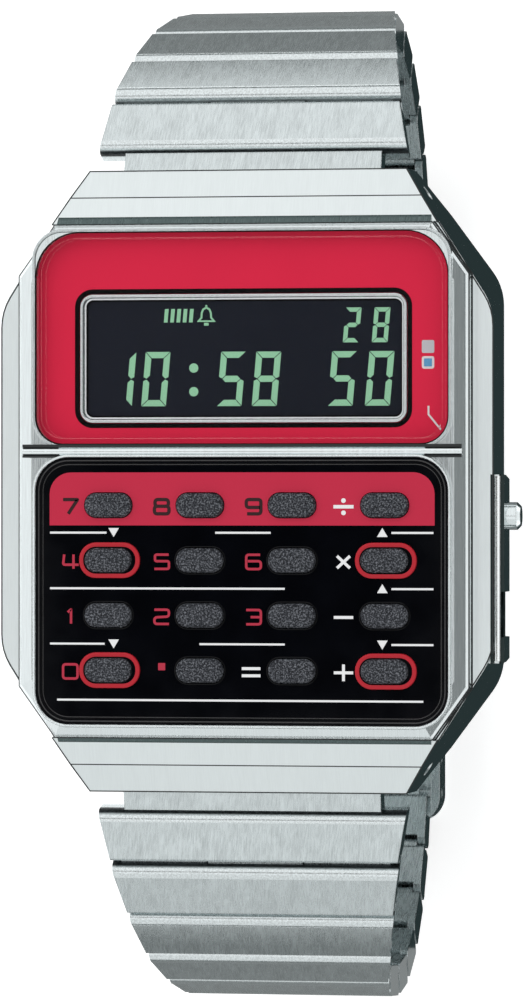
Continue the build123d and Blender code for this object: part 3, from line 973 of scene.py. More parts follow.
@dataclass
class SegmentDigit:
    """A seven-segment digit that leans to the right."""

    low: Point
    width: float
    height: float
    pen: float
    lean: float = math.radians(5)
    gap: float = 0.035

    LIT = {"0": "abcdef", "1": "bc", "2": "abged", "5": "afgcd", "8": "abcdefg"}

    def cells(self) -> dict[str, list[Point]]:
        """Work out the seven segments, mitred where they meet.

        Returns:
            The corners of each segment, by its letter.
        """
        wide, tall, pen, gap = self.width, self.height, self.pen, self.gap
        middle, half = tall / 2, pen / 2
        top = [(gap, tall), (wide - gap, tall), (wide - pen - gap, tall - pen), (pen + gap, tall - pen)]
        right = [(wide, tall - gap), (wide, middle + half * 0.5 + gap), (wide - half, middle + gap),
                 (wide - pen, middle + half + gap), (wide - pen, tall - pen - gap)]
        bar = [(half + gap, middle), (pen + gap, middle + half), (wide - pen - gap, middle + half),
               (wide - half - gap, middle), (wide - pen - gap, middle - half), (pen + gap, middle - half)]
        return {
            "a": top,
            "b": right,
            "c": [(x, tall - y) for x, y in right],
            "d": [(x, tall - y) for x, y in top],
            "e": [(wide - x, tall - y) for x, y in right],
            "f": [(wide - x, y) for x, y in right],
            "g": bar,
        }

    def draw(self, builder: Builder, sign: str, low: float, high: float) -> None:
        """Add the lit segments of one digit.

        Args:
            builder: The piece that the segments go into.
            sign: The digit.
            low: The height of the display's face.
            high: The height of the segments' top.
        """
        cells = self.cells()
        for name in self.LIT[sign]:
            points = [(self.low[0] + x + y * math.tan(self.lean), self.low[1] + y) for x, y in cells[name]]
            builder.plate(points, low, high)


# Sub-assemblies

@dataclass
class Case:
    """Case body, bezel frame, back and the bars that hold the band."""

    fold_in: float = 1.9
    fold_drop: float = 1.8
    fold_shade_width: float = 0.1
    front_side: float = 11.8
    front_end: float = 11.1
    end_drop: float = 2.75
    seat_drop: float = 1.25
    bezel_run: float = 3.55
    bezel_step: float = 2.55
    bezel_bevel: float = 0.25
    slope_rise: float = 0.35
    lip: float = 0.25
    line: float = 0.07
    bar_half: float = 15.35
    lip_half: float = 15.3
    line_above: float = 0.2
    line_below: float = 0.13
    cove: tuple[Point, ...] = (
        (0.5, 0.0), (0.42, 0.05), (0.33, 0.115), (0.22, 0.21), (0.1, 0.32), (0.0, 0.42),
    )
    cove_half: float = 13.05
    cove_shares: tuple[float, float] = (1.0, 0.6)
    corner_bend: float = 1.155
    root: float = 0.1
    steel: BrushedSteel = BrushedSteel(
        "case_steel", (0.82, 0.88, 0.885), 0.3, contrast=0.05, steep=0.35, relief=0.12,
    )
    chrome: PolishedSteel = PolishedSteel("bezel_chrome", roughness=0.13, edge=0.1)
    round_bar: PolishedSteel = PolishedSteel("divider_chrome", (0.86, 0.92, 0.93), roughness=0.16)
    # steel painted dark, as shade in the hollow of the coves
    shaded_cove_steel: PolishedSteel = PolishedSteel("shaded_cove_steel", (0.10, 0.135, 0.135), roughness=0.3, edge=0.0)
    # dark finish of the lines of painted shade in the folds, along the edges and beside the bezel and the bar
    shade_line: SatinPrint = SatinPrint("shade_line_dark", (0.008, 0.011, 0.012), 0.5)
    back: BrushedSteel = BrushedSteel("back_steel", roughness=0.3, contrast=0.16)
    bar: PolishedSteel = PolishedSteel("bar_steel", roughness=0.2)
    screw: PolishedSteel = PolishedSteel("screw_steel", roughness=0.15)
    seal: SatinPrint = SatinPrint("seal_rubber", (0.03, 0.03, 0.032), 0.6)

    def build(self, kit: "Kit") -> None:
        """Dress the nodes of the case and draw its lines of painted shade.
        """
        kit.dress(self.steel, "case_body")
        kit.dress(self.chrome, "bezel_frame")
        kit.dress(self.back, "back_cover")
        kit.dress(self.bar, "lug_bars")
        kit.dress(self.screw, "back_screws")
        kit.dress(self.seal, "back_gasket")
        self.build_fold_shades(kit)
        self.build_edges(kit)
        self.build_bezel_lines(kit)
        self.build_divider(kit)
        self.build_coves(kit)

    def half_width(self, y: float) -> float:
        """Half the width of the case's front at a place along the cut corner.

        Args:
            y: How far the place lies from the middle of the watch.

        Returns:
            Half the width there.
        """
        side, end = -Span.of("case_body").low.x, Span.of("case_body").high.y
        share = (end - y) / (end - self.front_side)
        return self.front_end + (side - self.front_end) * share

    def build_fold_shades(self, kit: "Kit") -> None:
        """Draw a dark line of painted shade in the fold of the hood at each end.
        """
        end = Span.of("case_body").high.y - self.fold_in
        fold = Span.of("bezel_frame").high.z - self.fold_drop
        half = self.half_width(end)
        for name, y in (("fold_shade_12", end), ("fold_shade_6", -end)):
            outline = Outline(2 * half, self.fold_shade_width, self.fold_shade_width / 2, (0.0, y), 3)
            builder = Builder(name)
            builder.plate(outline.loop(), fold - self.root, fold + SKIN)
            builder.finish(kit, self.shade_line, "case_steel")

    def build_edges(self, kit: "Kit") -> None:
        """Draw a fine dark line of painted shade along the upper edge of the case wall.
        """
        case, face = Span.of("case_body"), Span.of("bezel_frame").high.z
        shoulder, seat = Span.of("bezel_frame").low.z, Span.of("bezel_frame").high.y
        end, fold = case.high.y, case.high.y - self.fold_in
        half = -case.low.x
        bend = [(self.half_width(seat), seat), (half, self.front_side), (half, 0.0)]
        quarter = [Vector((self.front_end, end, face - self.end_drop))]
        quarter.append(Vector((self.half_width(fold), fold, face - self.fold_drop)))
        quarter.append(Vector((self.half_width(seat), seat, face - self.seat_drop)))
        quarter += [Vector((x, y, shoulder)) for x, y in soften(bend, self.corner_bend, False)[:-1]]
        line = []
        for east, north in ((1, 1), (1, -1), (-1, -1), (-1, 1)):
            turned = quarter if east == north else reversed(quarter)
            line += [Vector((east * point.x, north * point.y, point.z)) for point in turned]
        builder = Builder("case_edge_line")
        builder.wire(line, self.line * 0.7)
        builder.finish(kit, self.shade_line, "case_steel")

    def build_bezel_lines(self, kit: "Kit") -> None:
        """Draw dark lines of painted shade under the bezel's bevel and at its foot.
        """
        span = Span.of("bezel_frame")
        plan = CutOutline(span.size.x, span.size.y, self.bezel_run, self.bezel_step)
        edge = span.high.z - self.lip - self.slope_rise - self.bezel_bevel
        line, low = self.line, span.low.z
        profile = [(line, edge + line + SKIN), (-SKIN, edge), (-SKIN, edge - line),
                   (0.02, edge - line), (line, edge)]
        builder = Builder("bezel_lines")
        builder.loft(plan, profile, tube=True)
        builder.loft(plan, flat(-line, line + 0.02, low - 0.05, low + SKIN), tube=True)
        builder.finish(kit, self.shade_line, "bezel_chrome")

    def build_coves(self, kit: "Kit") -> None:
        """Build the hollow slope that leads from each hood up to the bezel, in steel painted dark as shade.
        """
        seat, hood = Span.of("bezel_frame").high.y, Span.of("bezel_frame").high.z - self.seat_drop
        fall = (self.fold_drop - self.seat_drop) / (Span.of("case_body").high.y - self.fold_in - seat)
        for name, way, share in zip(("cove_12", "cove_6"), (1, -1), self.cove_shares):
            section = []
            for out, up in self.cove:
                section.append((way * (seat + out * share), hood - fall * out * share + up * share + SKIN))
            section.append((way * (seat - 0.02), hood - self.root))
            section.append((way * (seat + self.cove[0][0] * share), hood - self.lip))
            builder = Builder(name)
            builder.bar(section, -self.cove_half, self.cove_half, "X")
            builder.finish(kit, self.shaded_cove_steel, "case_steel")

    def build_divider(self, kit: "Kit") -> None:
        """Build the round bar between display and keypad, with dark lines of painted shade beside it.
        """
        above, below = Span.of("display_crystal").low.y, Span.of("key_plate").high.y
        face = Span.of("bezel_frame").high.z
        foot = face - self.lip
        top, bottom = above - self.line_above, below + self.line_below
        builder = Builder("divider_bar")
        section = crest(bottom, top - bottom, foot, self.lip * 0.9)
        section += [(top, foot - self.root), (bottom, foot - self.root)]
        builder.bar(section, -self.bar_half, self.bar_half, "X")
        builder.finish(kit, self.round_bar, "bezel_chrome")
        builder = Builder("divider_lines")
        for low, high in ((bottom - self.line_below, bottom), (top, top + self.line_above)):
            builder.plate(rectangle(-self.lip_half, low, self.lip_half, high), foot - self.root, face + SKIN)
        builder.finish(kit, self.shade_line, "bezel_chrome")


@dataclass
class Module:
    """What is sealed inside: rubber sheet, plastic frame, board, cell and sounder."""

    sheet: SatinPrint = SatinPrint("sheet_rubber", (0.30, 0.30, 0.32), 0.7)
    plastic: SatinPrint = SatinPrint("module_plastic", (0.05, 0.05, 0.06), 0.5)
    board: SatinPrint = SatinPrint("board_green", (0.04, 0.22, 0.10), 0.35, 0.5, 0.3)
    cell: BrushedSteel = BrushedSteel("cell_steel", roughness=0.3)
    brass: BrushedSteel = BrushedSteel("buzzer_brass", (0.78, 0.58, 0.27), 0.3)

    def build(self, kit: "Kit") -> None:
        """Dress the nodes of the module.
        """
        kit.dress(self.sheet, "key_sheet")
        kit.dress(self.plastic, "module_frame")
        kit.dress(self.board, "circuit_board")
        kit.dress(self.cell, "battery")
        kit.dress(self.brass, "buzzer")


@dataclass
class Display:
    """Crystal, red sheet, window rim and liquid-crystal panel with its signs."""

    crystal_radius: float = 1.9
    crystal_upper: float = 3.0
    seam_shade: Point = (-0.02, 0.08)
    crystal_bevel: float = 0.44
    bevel_drop: float = 0.035
    bevel_step: float = 0.05
    air: float = 0.04
    rim: float = 0.62
    rim_start: float = 0.06
    rim_bead: float = 0.32
    rim_step: float = 0.12
    rim_radius: float = 1.0
    rim_depths: Point = (0.3, 0.32)
    shadow_width: float = 0.24
    bead_rise: float = 0.14
    digit_bottom: float = 5.17
    digit_height: float = 3.75
    digit_width: float = 1.74
    pen: float = 0.43
    digits: tuple[tuple[str, float], ...] = (
        ("1", -9.62), ("0", -7.22), ("5", -1.92), ("8", 0.54), ("5", 5.83), ("0", 8.42),
    )
    small_bottom: float = 9.52
    small_height: float = 2.4
    small_width: float = 1.1
    small_pen: float = 0.3
    small_gap: float = 0.025
    small_digits: tuple[tuple[str, float], ...] = (("2", 6.89), ("8", 8.9))
    colon: tuple[Point, ...] = ((-3.52, 7.80), (-3.52, 6.17))
    dot: tuple[float, float, float] = (0.64, 0.64, 0.31)
    bars: int = 5
    bar_start: Point = (-5.62, 10.95)
    bar_size: Point = (0.26, 0.93)
    bar_pitch: float = 0.44
    bar_lean: float = 0.08
    bell: tuple[Point, ...] = (
        (-3.19, 11.03), (-2.09, 11.03), (-2.3, 11.26), (-2.32, 11.6), (-2.42, 11.84),
        (-2.64, 11.96), (-2.86, 11.84), (-2.96, 11.6), (-2.98, 11.26),
    )
    bell_ends: tuple[tuple[float, ...], ...] = ((-2.8, 10.72, -2.48, 10.92), (-2.71, 11.98, -2.57, 12.14))
    fine_pen: float = 0.13
    square_pen: float = 0.16
    square_soft: float = 0.1
    grey_square: tuple[float, float, float] = (0.86, 0.88, 0.1)
    grey_middle: Point = (12.88, 9.2)
    blue_square: tuple[float, float, float] = (0.56, 0.56, 0.06)
    blue_middle: Point = (12.88, 8.11)
    square: tuple[Point, ...] = ((12.53, 7.76), (13.23, 7.76), (13.23, 8.46), (12.53, 8.46))
    leader: tuple[Point, ...] = ((12.91, 5.14), (12.91, 4.56), (13.76, 3.52))
    red: SatinPrint = SatinPrint("dial_red", (0.74, 0.021, 0.066), 0.5, 0.1, 0.05, 0.1)
    rim_finish: PolishedSteel = PolishedSteel("window_chrome", roughness=0.1)
    # black print round the window; the same finish is painted as shade in the seams round the rim and the
    # crystal
    border_and_shade: SatinPrint = SatinPrint("window_border_and_shade", (0.002, 0.0015, 0.0018), 0.5, shine=0.1)
    glass: LcdGlass = LcdGlass("lcd_glass")
    lit: SatinPrint = SatinPrint("segment_green", (0.30, 0.64, 0.40), 0.5, 0.1, 0.06, 0.2)
    white: SatinPrint = SatinPrint("mark_white", (0.78, 0.76, 0.77), 0.5)
    blue: SatinPrint = SatinPrint("mark_blue", (0.10, 0.36, 0.62), 0.5)
    grey: SatinPrint = SatinPrint("mark_grey", (0.55, 0.57, 0.60), 0.5)
    crystal: ClearCrystal = ClearCrystal("crystal_glass")
    corner: PolishedSteel = PolishedSteel("corner_steel", (0.82, 0.88, 0.885), roughness=0.32)

    def build(self, kit: "Kit") -> None:
        """Build the display from the sheet up to the crystal.
        """
        kit.dress(self.red, "dial_sheet")
        kit.dress(self.glass, "lcd_panel")
        self.build_rim(kit)
        self.build_signs(kit)
        self.build_legend(kit)
        self.build_crystal(kit)

    def build_rim(self, kit: "Kit") -> None:
        """Build the rounded bright rim of the window, with its dark border: print widened by painted shadow,
        and a line of painted shade inside the rim.
        """
        outline = Outline.of("window_frame", self.rim_radius)
        top, bottom = Span.of("window_frame").high.z, Span.of("window_frame").low.z
        inner, step = self.rim_start + self.rim_bead, self.rim_step
        profile = [(self.rim_start, bottom)]
        profile += crest(self.rim_start, self.rim_bead, top - self.bead_rise, self.bead_rise)
        profile += [(inner, top - self.rim_depths[0]), (inner + step, top - self.rim_depths[1])]
        profile.append((inner + step, bottom))
        builder = Builder("window_rim")
        builder.loft(outline, profile, tube=True)
        piece = builder.finish(kit, self.rim_finish, "window_chrome")
        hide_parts("window_frame")
        # painted shade: a dark line where the rim meets the panel
        builder = Builder("window_seam_shade")
        start = inner + step - 0.02
        builder.loft(outline, flat(start, self.rim - start, bottom, bottom + PRINT), tube=True)
        builder.finish(kit, self.border_and_shade, "lcd_glass")
        # the printed border, widened by painted shadow round the rim
        sheet = Span.of("dial_sheet").high.z
        border_and_shade = Outline.of("window_frame", self.rim_radius, grow=self.shadow_width)
        builder = Builder("window_border_and_shade")
        width = self.shadow_width + self.rim_start - 0.01
        builder.loft(border_and_shade, flat(0.0, width, sheet, sheet + PRINT), tube=True)
        builder.finish(kit, self.border_and_shade, "dial_red")

    def build_signs(self, kit: "Kit") -> None:
        """Build the lit signs of the panel: time, seconds, date, level bars and bell.
        """
        low = Span.of("lcd_panel").high.z + 0.004
        high = low + PRINT
        builder = Builder("lcd_signs")
        large = SegmentDigit((0.0, self.digit_bottom), self.digit_width, self.digit_height, self.pen)
        small = SegmentDigit((0.0, self.small_bottom), self.small_width, self.small_height, self.small_pen,
                             gap=self.small_gap)
        for digit, signs in ((large, self.digits), (small, self.small_digits)):
            for sign, left in signs:
                replace(digit, low=(left, digit.low[1])).draw(builder, sign, low, high)
        for middle in self.colon:
            builder.plate(Outline(*self.dot, middle, 6).loop(), low, high)
        near, far = self.bar_start[1], self.bar_start[1] + self.bar_size[1]
        for number in range(self.bars):
            left = self.bar_start[0] + number * self.bar_pitch
            right, lean = left + self.bar_size[0], self.bar_lean
            builder.plate([(left, near), (right, near), (right + lean, far), (left + lean, far)], low, high)
        builder.stroke(list(self.bell), self.fine_pen, low, high, closed=True)
        for sides in self.bell_ends:
            builder.plate(rectangle(*sides), low, high)
        builder.finish(kit, self.lit, "lcd_glass")

    def build_legend(self, kit: "Kit") -> None:
        """Build the small squares and the leader at the right edge of the sheet.
        """
        low = Span.of("dial_sheet").high.z + 0.002
        high = low + PRINT
        builder = Builder("legend_grey")
        builder.plate(Outline(*self.grey_square, self.grey_middle, 3).loop(), low, high)
        builder.finish(kit, self.grey, "dial_red")
        builder = Builder("legend_white")
        square = soften(list(self.square), self.square_soft, True)
        builder.stroke(square, self.square_pen, low, high, closed=True)
        builder.stroke(list(self.leader), self.fine_pen, low, high)
        builder.finish(kit, self.white, "dial_red")
        builder = Builder("legend_blue")
        builder.plate(Outline(*self.blue_square, self.blue_middle, 3).loop(), low, high)
        builder.finish(kit, self.blue, "dial_red")

    def build_crystal(self, kit: "Kit") -> None:
        """Build the bevelled crystal, and what lies round it.
        """
        span = Span.of("display_crystal")
        plain = Outline.of("display_crystal", self.crystal_radius, 10)
        outline = replace(plain, upper_radius=self.crystal_upper)
        bottom, top = span.low.z + self.air, span.high.z
        drop, edge = self.bevel_drop, self.crystal_bevel
        profile = [(0.0, bottom), (0.0, top - drop - 0.03), (0.02, top - drop),
                   (edge - self.bevel_step, top - drop), (edge, top)]
        builder = Builder("crystal_lens")
        builder.loft(outline, profile, lid=True)
        piece = builder.finish(kit, self.crystal, "crystal_glass", smooth=12)
        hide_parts("display_crystal")
        self.build_crystal_frame(kit, plain, outline)

    def build_crystal_frame(self, kit: "Kit", plain: Outline, outline: Outline) -> None:
        """Fill the upper corners beside the crystal with steel, and lay a dark line of painted shade round it
        as its seam.

        Args:
            plain: The outline of the opening in the bezel.
            outline: The outline of the crystal.
        """
        top = Span.of("display_crystal").high.z
        builder = Builder("crystal_corners")
        count = plain.corner_steps + 1
        for start in (0, count):
            wide, tight = plain.loop()[start:start + count], outline.loop()[start:start + count]
            builder.plate(wide + list(reversed(tight)), Span.of("dial_sheet").high.z, top + SKIN)
        builder.finish(kit, self.corner, "bezel_chrome")
        # painted shade: a dark line in the gap between crystal and bezel
        builder = Builder("crystal_seam_shade")
        builder.loft(outline, flat(*self.seam_shade, top - 0.2, top + PRINT), tube=True)
        builder.finish(kit, self.border_and_shade, "bezel_chrome")


@dataclass
class Keypad:
    """Black panel with its red strip, rings, printed signs and rules, and the sixteen keys."""

    rows: tuple[tuple[str, ...], ...] = (
        ("7", "8", "9", "divide"),
        ("4", "5", "6", "multiply"),
        ("1", "2", "3", "minus"),
        ("0", "point", "equals", "plus"),
    )
    ringed: tuple[str, ...] = ("4", "multiply", "0", "plus")
    flange: float = 0.38
    ring_width: float = 0.40
    ring_offset: float = 0.18
    ring_height: float = 0.17
    collar: float = 0.09
    play: float = 0.05
    pens: dict[Ink, float] = field(default_factory=lambda: {Ink.BLACK: 0.23, Ink.RED: 0.17, Ink.WHITE: 0.2})
    rule_width: float = 0.14
    corner: float = 2.3
    ridges: tuple[tuple[float, ...], ...] = ((0.14, 0.12, 0.1, 0.045), (0.42, 0.10, -0.005, 0.05))
    lip_ridge: tuple[float, ...] = (-0.2, 0.16, -0.01, 0.05)
    edge_rise: float = 0.15
    sign_left: float = 2.68
    operator_left: float = 2.85
    strip_top: float = 0.60
    strip_bottom: float = -3.05
    strip_half: float = 13.43
    strip_radius: float = 1.5
    sign_drop: float = 0.1
    divide_half: float = 0.7
    divide_pen: float = 0.24
    divide_rise: float = 0.42
    divide_dot: tuple[float, float, float] = (0.32, 0.32, 0.15)
    point_rise: float = 0.36
    point_dot: tuple[float, float, float] = (0.5, 0.5, 0.04)
    pointer: tuple[float, float, float] = (0.37, 0.3, 0.32)
    rules: tuple[tuple[float, float, float], ...] = (
        (-3.55, -13.4, -9.42), (-3.55, -1.8, 2.07), (-3.55, 10.45, 13.35),
        (-7.39, -13.4, 3.05), (-7.39, 10.45, 13.35),
        (-11.21, -13.4, -9.55), (-11.21, -2.9, 3.05), (-11.21, 10.45, 13.35),
        (-15.08, -12.9, 12.65),
    )
    pointers: tuple[tuple[float, float, int], ...] = (
        (-8.92, -3.53, -1), (9.82, -3.53, 1), (9.82, -7.37, 1), (-8.92, -11.21, -1), (9.82, -11.21, -1),
    )
    panel: GlossPanel = GlossPanel("key_panel")
    panel_edge: GlossPanel = GlossPanel("panel_edge", (0.002, 0.002, 0.003), 0.12, shine=0.9)
    lip: PolishedSteel = PolishedSteel("panel_lip", (0.86, 0.92, 0.93), 0.12)
    strip: SatinPrint = SatinPrint("strip_red", (0.51, 0.022, 0.057), 0.4, 0.1, 0.05, 0.15)
    ring_red: SatinPrint = SatinPrint("ring_red", (0.44, 0.008, 0.02), 0.35, 0.1, 0.05, 0.3)
    rubber: GrainedRubber = GrainedRubber("key_rubber")

    @property
    def top(self) -> float:
        """The height of the panel, below the rings that are its highest places."""
        return Span.of("key_plate").high.z - self.edge_rise

    def build(self, kit: "Kit") -> None:
        """Build the keypad from the panel up.
        """
        kit.dress(self.panel, "key_plate")
        self.build_rims(kit)
        self.build_strip(kit)
        self.build_prints(kit)
        for names in self.rows:
            for name in names:
                kit.dress(self.rubber, f"key_{name}")
                self.build_surround(kit, name)

    def build_rims(self, kit: "Kit") -> None:
        """Build the two fine ridges in the panel's border and the bright lip of the bezel round it.
        """
        outline = Outline.of("key_plate", self.corner, 12)
        builder = Builder("panel_ridges")
        for inset, width, foot, rise in self.ridges:
            builder.loft(outline, crest(inset, width, self.top + foot, rise), tube=True)
        builder.finish(kit, self.panel_edge, "key_panel")
        inset, width, foot, rise = self.lip_ridge
        builder = Builder("panel_lip")
        builder.loft(outline, crest(inset, width, Span.of("bezel_frame").high.z + foot, rise), tube=True)
        builder.finish(kit, self.lip, "bezel_chrome")

    def key_outline(self, name: str, grow: float, shift: float = 0.0) -> Outline:
        """The outline of a key's cap, made larger all round and longer to the right by a shift.

        Args:
            name: The key.
            grow: How much larger the outline is, on each side.
            shift: How much longer it is on the right.

        Returns:
            The outline.
        """
        span = Span.of(f"key_{name}")
        width = span.size.x - 2 * self.flange + 2 * grow + shift
        depth = span.size.y - 2 * self.flange + 2 * grow
        return Outline(width, depth, depth * 0.48, (span.middle.x + shift / 2, span.middle.y), 8)

    def build_strip(self, kit: "Kit") -> None:
        """Build the red strip behind the top row, with a hole for each key.
        """
        low = self.top + 0.002
        high = low + PRINT
        curve = bpy.data.curves.new("strip_outline", "CURVE")
        curve.dimensions = "2D"
        curve.fill_mode = "BOTH"
        middle = (self.strip_top + self.strip_bottom) / 2
        half, length = self.strip_half, self.strip_top - self.strip_bottom
        body = Outline(2 * half, length, self.strip_radius, (0.0, middle))
        upper = body.loop()[:2 * (body.corner_steps + 1)]
        loops = [upper + [(-half, self.strip_bottom), (half, self.strip_bottom)]]
        for name in self.rows[0]:
            loops.append(list(reversed(self.key_outline(name, self.play + 0.02).loop())))
        for loop in loops:
            spline = curve.splines.new("POLY")
            spline.points.add(len(loop) - 1)
            for point, (x, y) in zip(spline.points, loop):
                point.co = (x * MM, y * MM, 0.0, 1.0)
            spline.use_cyclic_u = True
        curve.extrude = (high - low) / 2 * MM
        builder = Builder("red_strip")
        builder.absorb(curve, (low + high) / 2)
        builder.finish(kit, self.strip, "key_panel")

    def build_surround(self, kit: "Kit", name: str) -> None:
        """Build the red ring or the thin dark collar round one key.

        Args:
            name: The key.
        """
        if name in self.ringed:
            outline = self.key_outline(name, self.ring_width, self.ring_offset)
            foot, top, inner = self.top - 0.01, self.top + self.ring_height, self.ring_width - self.play
            profile = [(0.0, foot), (0.0, top - 0.08), (0.03, top - 0.02), (0.09, top),
                       (inner - 0.09, top), (inner - 0.02, top - 0.03), (inner, top - 0.1), (inner, foot)]
            builder = Builder(f"ring_{name}")
            builder.loft(outline, profile, tube=True)
            builder.finish(kit, self.ring_red, "key_panel")
            return
        outline = self.key_outline(name, self.play + self.collar)
        foot, top, inner = self.top - 0.01, self.top + 0.035, self.collar
        profile = [(0.0, foot), (0.0, top - 0.02), (0.03, top),
                   (inner - 0.02, top), (inner, top - 0.02), (inner, foot)]
        builder = Builder(f"collar_{name}")
        builder.loft(outline, profile, tube=True)
        builder.finish(kit, self.strip if name in self.rows[0] else self.panel, "key_panel")

    def build_prints(self, kit: "Kit") -> None:
        """Build the printed signs, rules and pointers, one piece for each ink.
        """
        low = self.top + PRINT + 0.004
        high = low + PRINT
        inks = {ink: Builder(f"print_{ink.name.lower()}") for ink in Ink}
        for row, names in enumerate(self.rows):
            for column, name in enumerate(names):
                x, y, _ = Span.of(f"key_{name}").middle
                operator = column == 3 or name == "equals"
                left, middle = x - (self.operator_left if operator else self.sign_left), y - self.sign_drop
                ink = Ink.WHITE if operator else Ink.BLACK if row == 0 else Ink.RED
                if name == "divide":
                    bar = [(left - self.divide_half, middle), (left + self.divide_half, middle)]
                    inks[ink].stroke(bar, self.divide_pen, low, high)
                    for up in (-self.divide_rise, self.divide_rise):
                        inks[ink].plate(Outline(*self.divide_dot, (left, middle + up), 4).loop(), low, high)
                elif name == "point":
                    dot = Outline(*self.point_dot, (left, middle + self.point_rise), 2)
                    inks[ink].plate(dot.loop(), low, high)
                else:
                    KEY_SIGNS[name].draw(inks[ink], (left, middle), self.pens[ink], low, high)
        for y, start, end in self.rules:
            inks[Ink.WHITE].stroke([(start, y), (end, y)], self.rule_width, low, high)
        for x, y, way in self.pointers:
            half, drop, rise = self.pointer
            foot = y - way * drop
            inks[Ink.WHITE].plate([(x - half, foot), (x + half, foot), (x, y + way * rise)], low, high)
        for ink, builder in inks.items():
            finish = SatinPrint(f"ink_{ink.name.lower()}", ink.value, 0.45, 0.08, 0.05, 0.3)
            builder.finish(kit, finish, "key_panel")


@dataclass
class Pushers:
    """The two pushers on the 3 o'clock side, with the bright rail and the painted shade of their guard."""

    reach: float = 0.7
    guard_half: float = 1.7
    guard_span: Point = (-12.5, 0.45)
    notch: Point = (-10.7, -7.6)
    rail: Point = (0.07, 0.47)
    rail_ends: Point = (0.15, 0.1)
    rail_rise: float = 0.035
    strip: Point = (0.17, 0.01)
    chamfer: float = 0.3
    gap_half: float = 0.85
    fill: float = 0.37
    steel: PolishedSteel = PolishedSteel("pusher_steel", roughness=0.12, edge=0.08)
    rail_steel: PolishedSteel = PolishedSteel("rail_steel", (0.93, 0.97, 0.97), roughness=0.1, edge=0.03)
    # steel painted near black, as shade on the guard beside the rail and over the notch
    shade: PolishedSteel = PolishedSteel("guard_shade", (0.030, 0.042, 0.042), roughness=0.25)

    def build(self, kit: "Kit") -> None:
        """Dress both pushers and build the guard's rail."""
        kit.dress(self.steel, "mode_pusher", "adjust_pusher")
        self.build_guard(kit)

    def build_guard(self, kit: "Kit") -> None:
        """Build the bright rail along the guard, and the dark strips beside it and the bridge over the notch,
        in steel painted dark as shade.
        """
        side = Span.of("case_body").high.x - self.reach
        middle = Span.of("mode_pusher").middle.z
        top, shoulder = middle + self.guard_half, Span.of("bezel_frame").low.z
        start, end = self.guard_span
        inner, outer = side + self.rail[0], side + self.rail[1]
        builder = Builder("guard_rail")
        section = crest(inner, outer - inner, top + 0.02, self.rail_rise)
        section += [(outer, top - self.chamfer), (inner, top - self.chamfer)]
        builder.bar(section, start + self.rail_ends[0], end - self.rail_ends[1], "Y")
        builder.finish(kit, self.rail_steel, "case_steel")
        builder = Builder("guard_shade")
        strips = ((side - self.strip[0], side + self.strip[1], shoulder), (side, inner, top))
        for low, high, level in strips:
            builder.plate(rectangle(low, start, high, end), level - 0.05, level + SKIN)
        edge = side + self.reach
        slope = [(outer, top - 0.1), (outer, top + SKIN), (edge - self.chamfer, top + SKIN),
                 (edge + SKIN, top - self.chamfer), (edge - 0.02, top - self.chamfer - 0.03)]
        builder.bar(slope, start, self.notch[0], "Y")
        builder.bar(slope, self.notch[1], end, "Y")
        for low, high in ((middle - self.guard_half, middle - self.gap_half), (middle + self.gap_half, top)):
            builder.bar(rectangle(side - 0.02, low, side + self.fill, high), *self.notch, "Y")
        builder.finish(kit, self.shade, "case_steel")


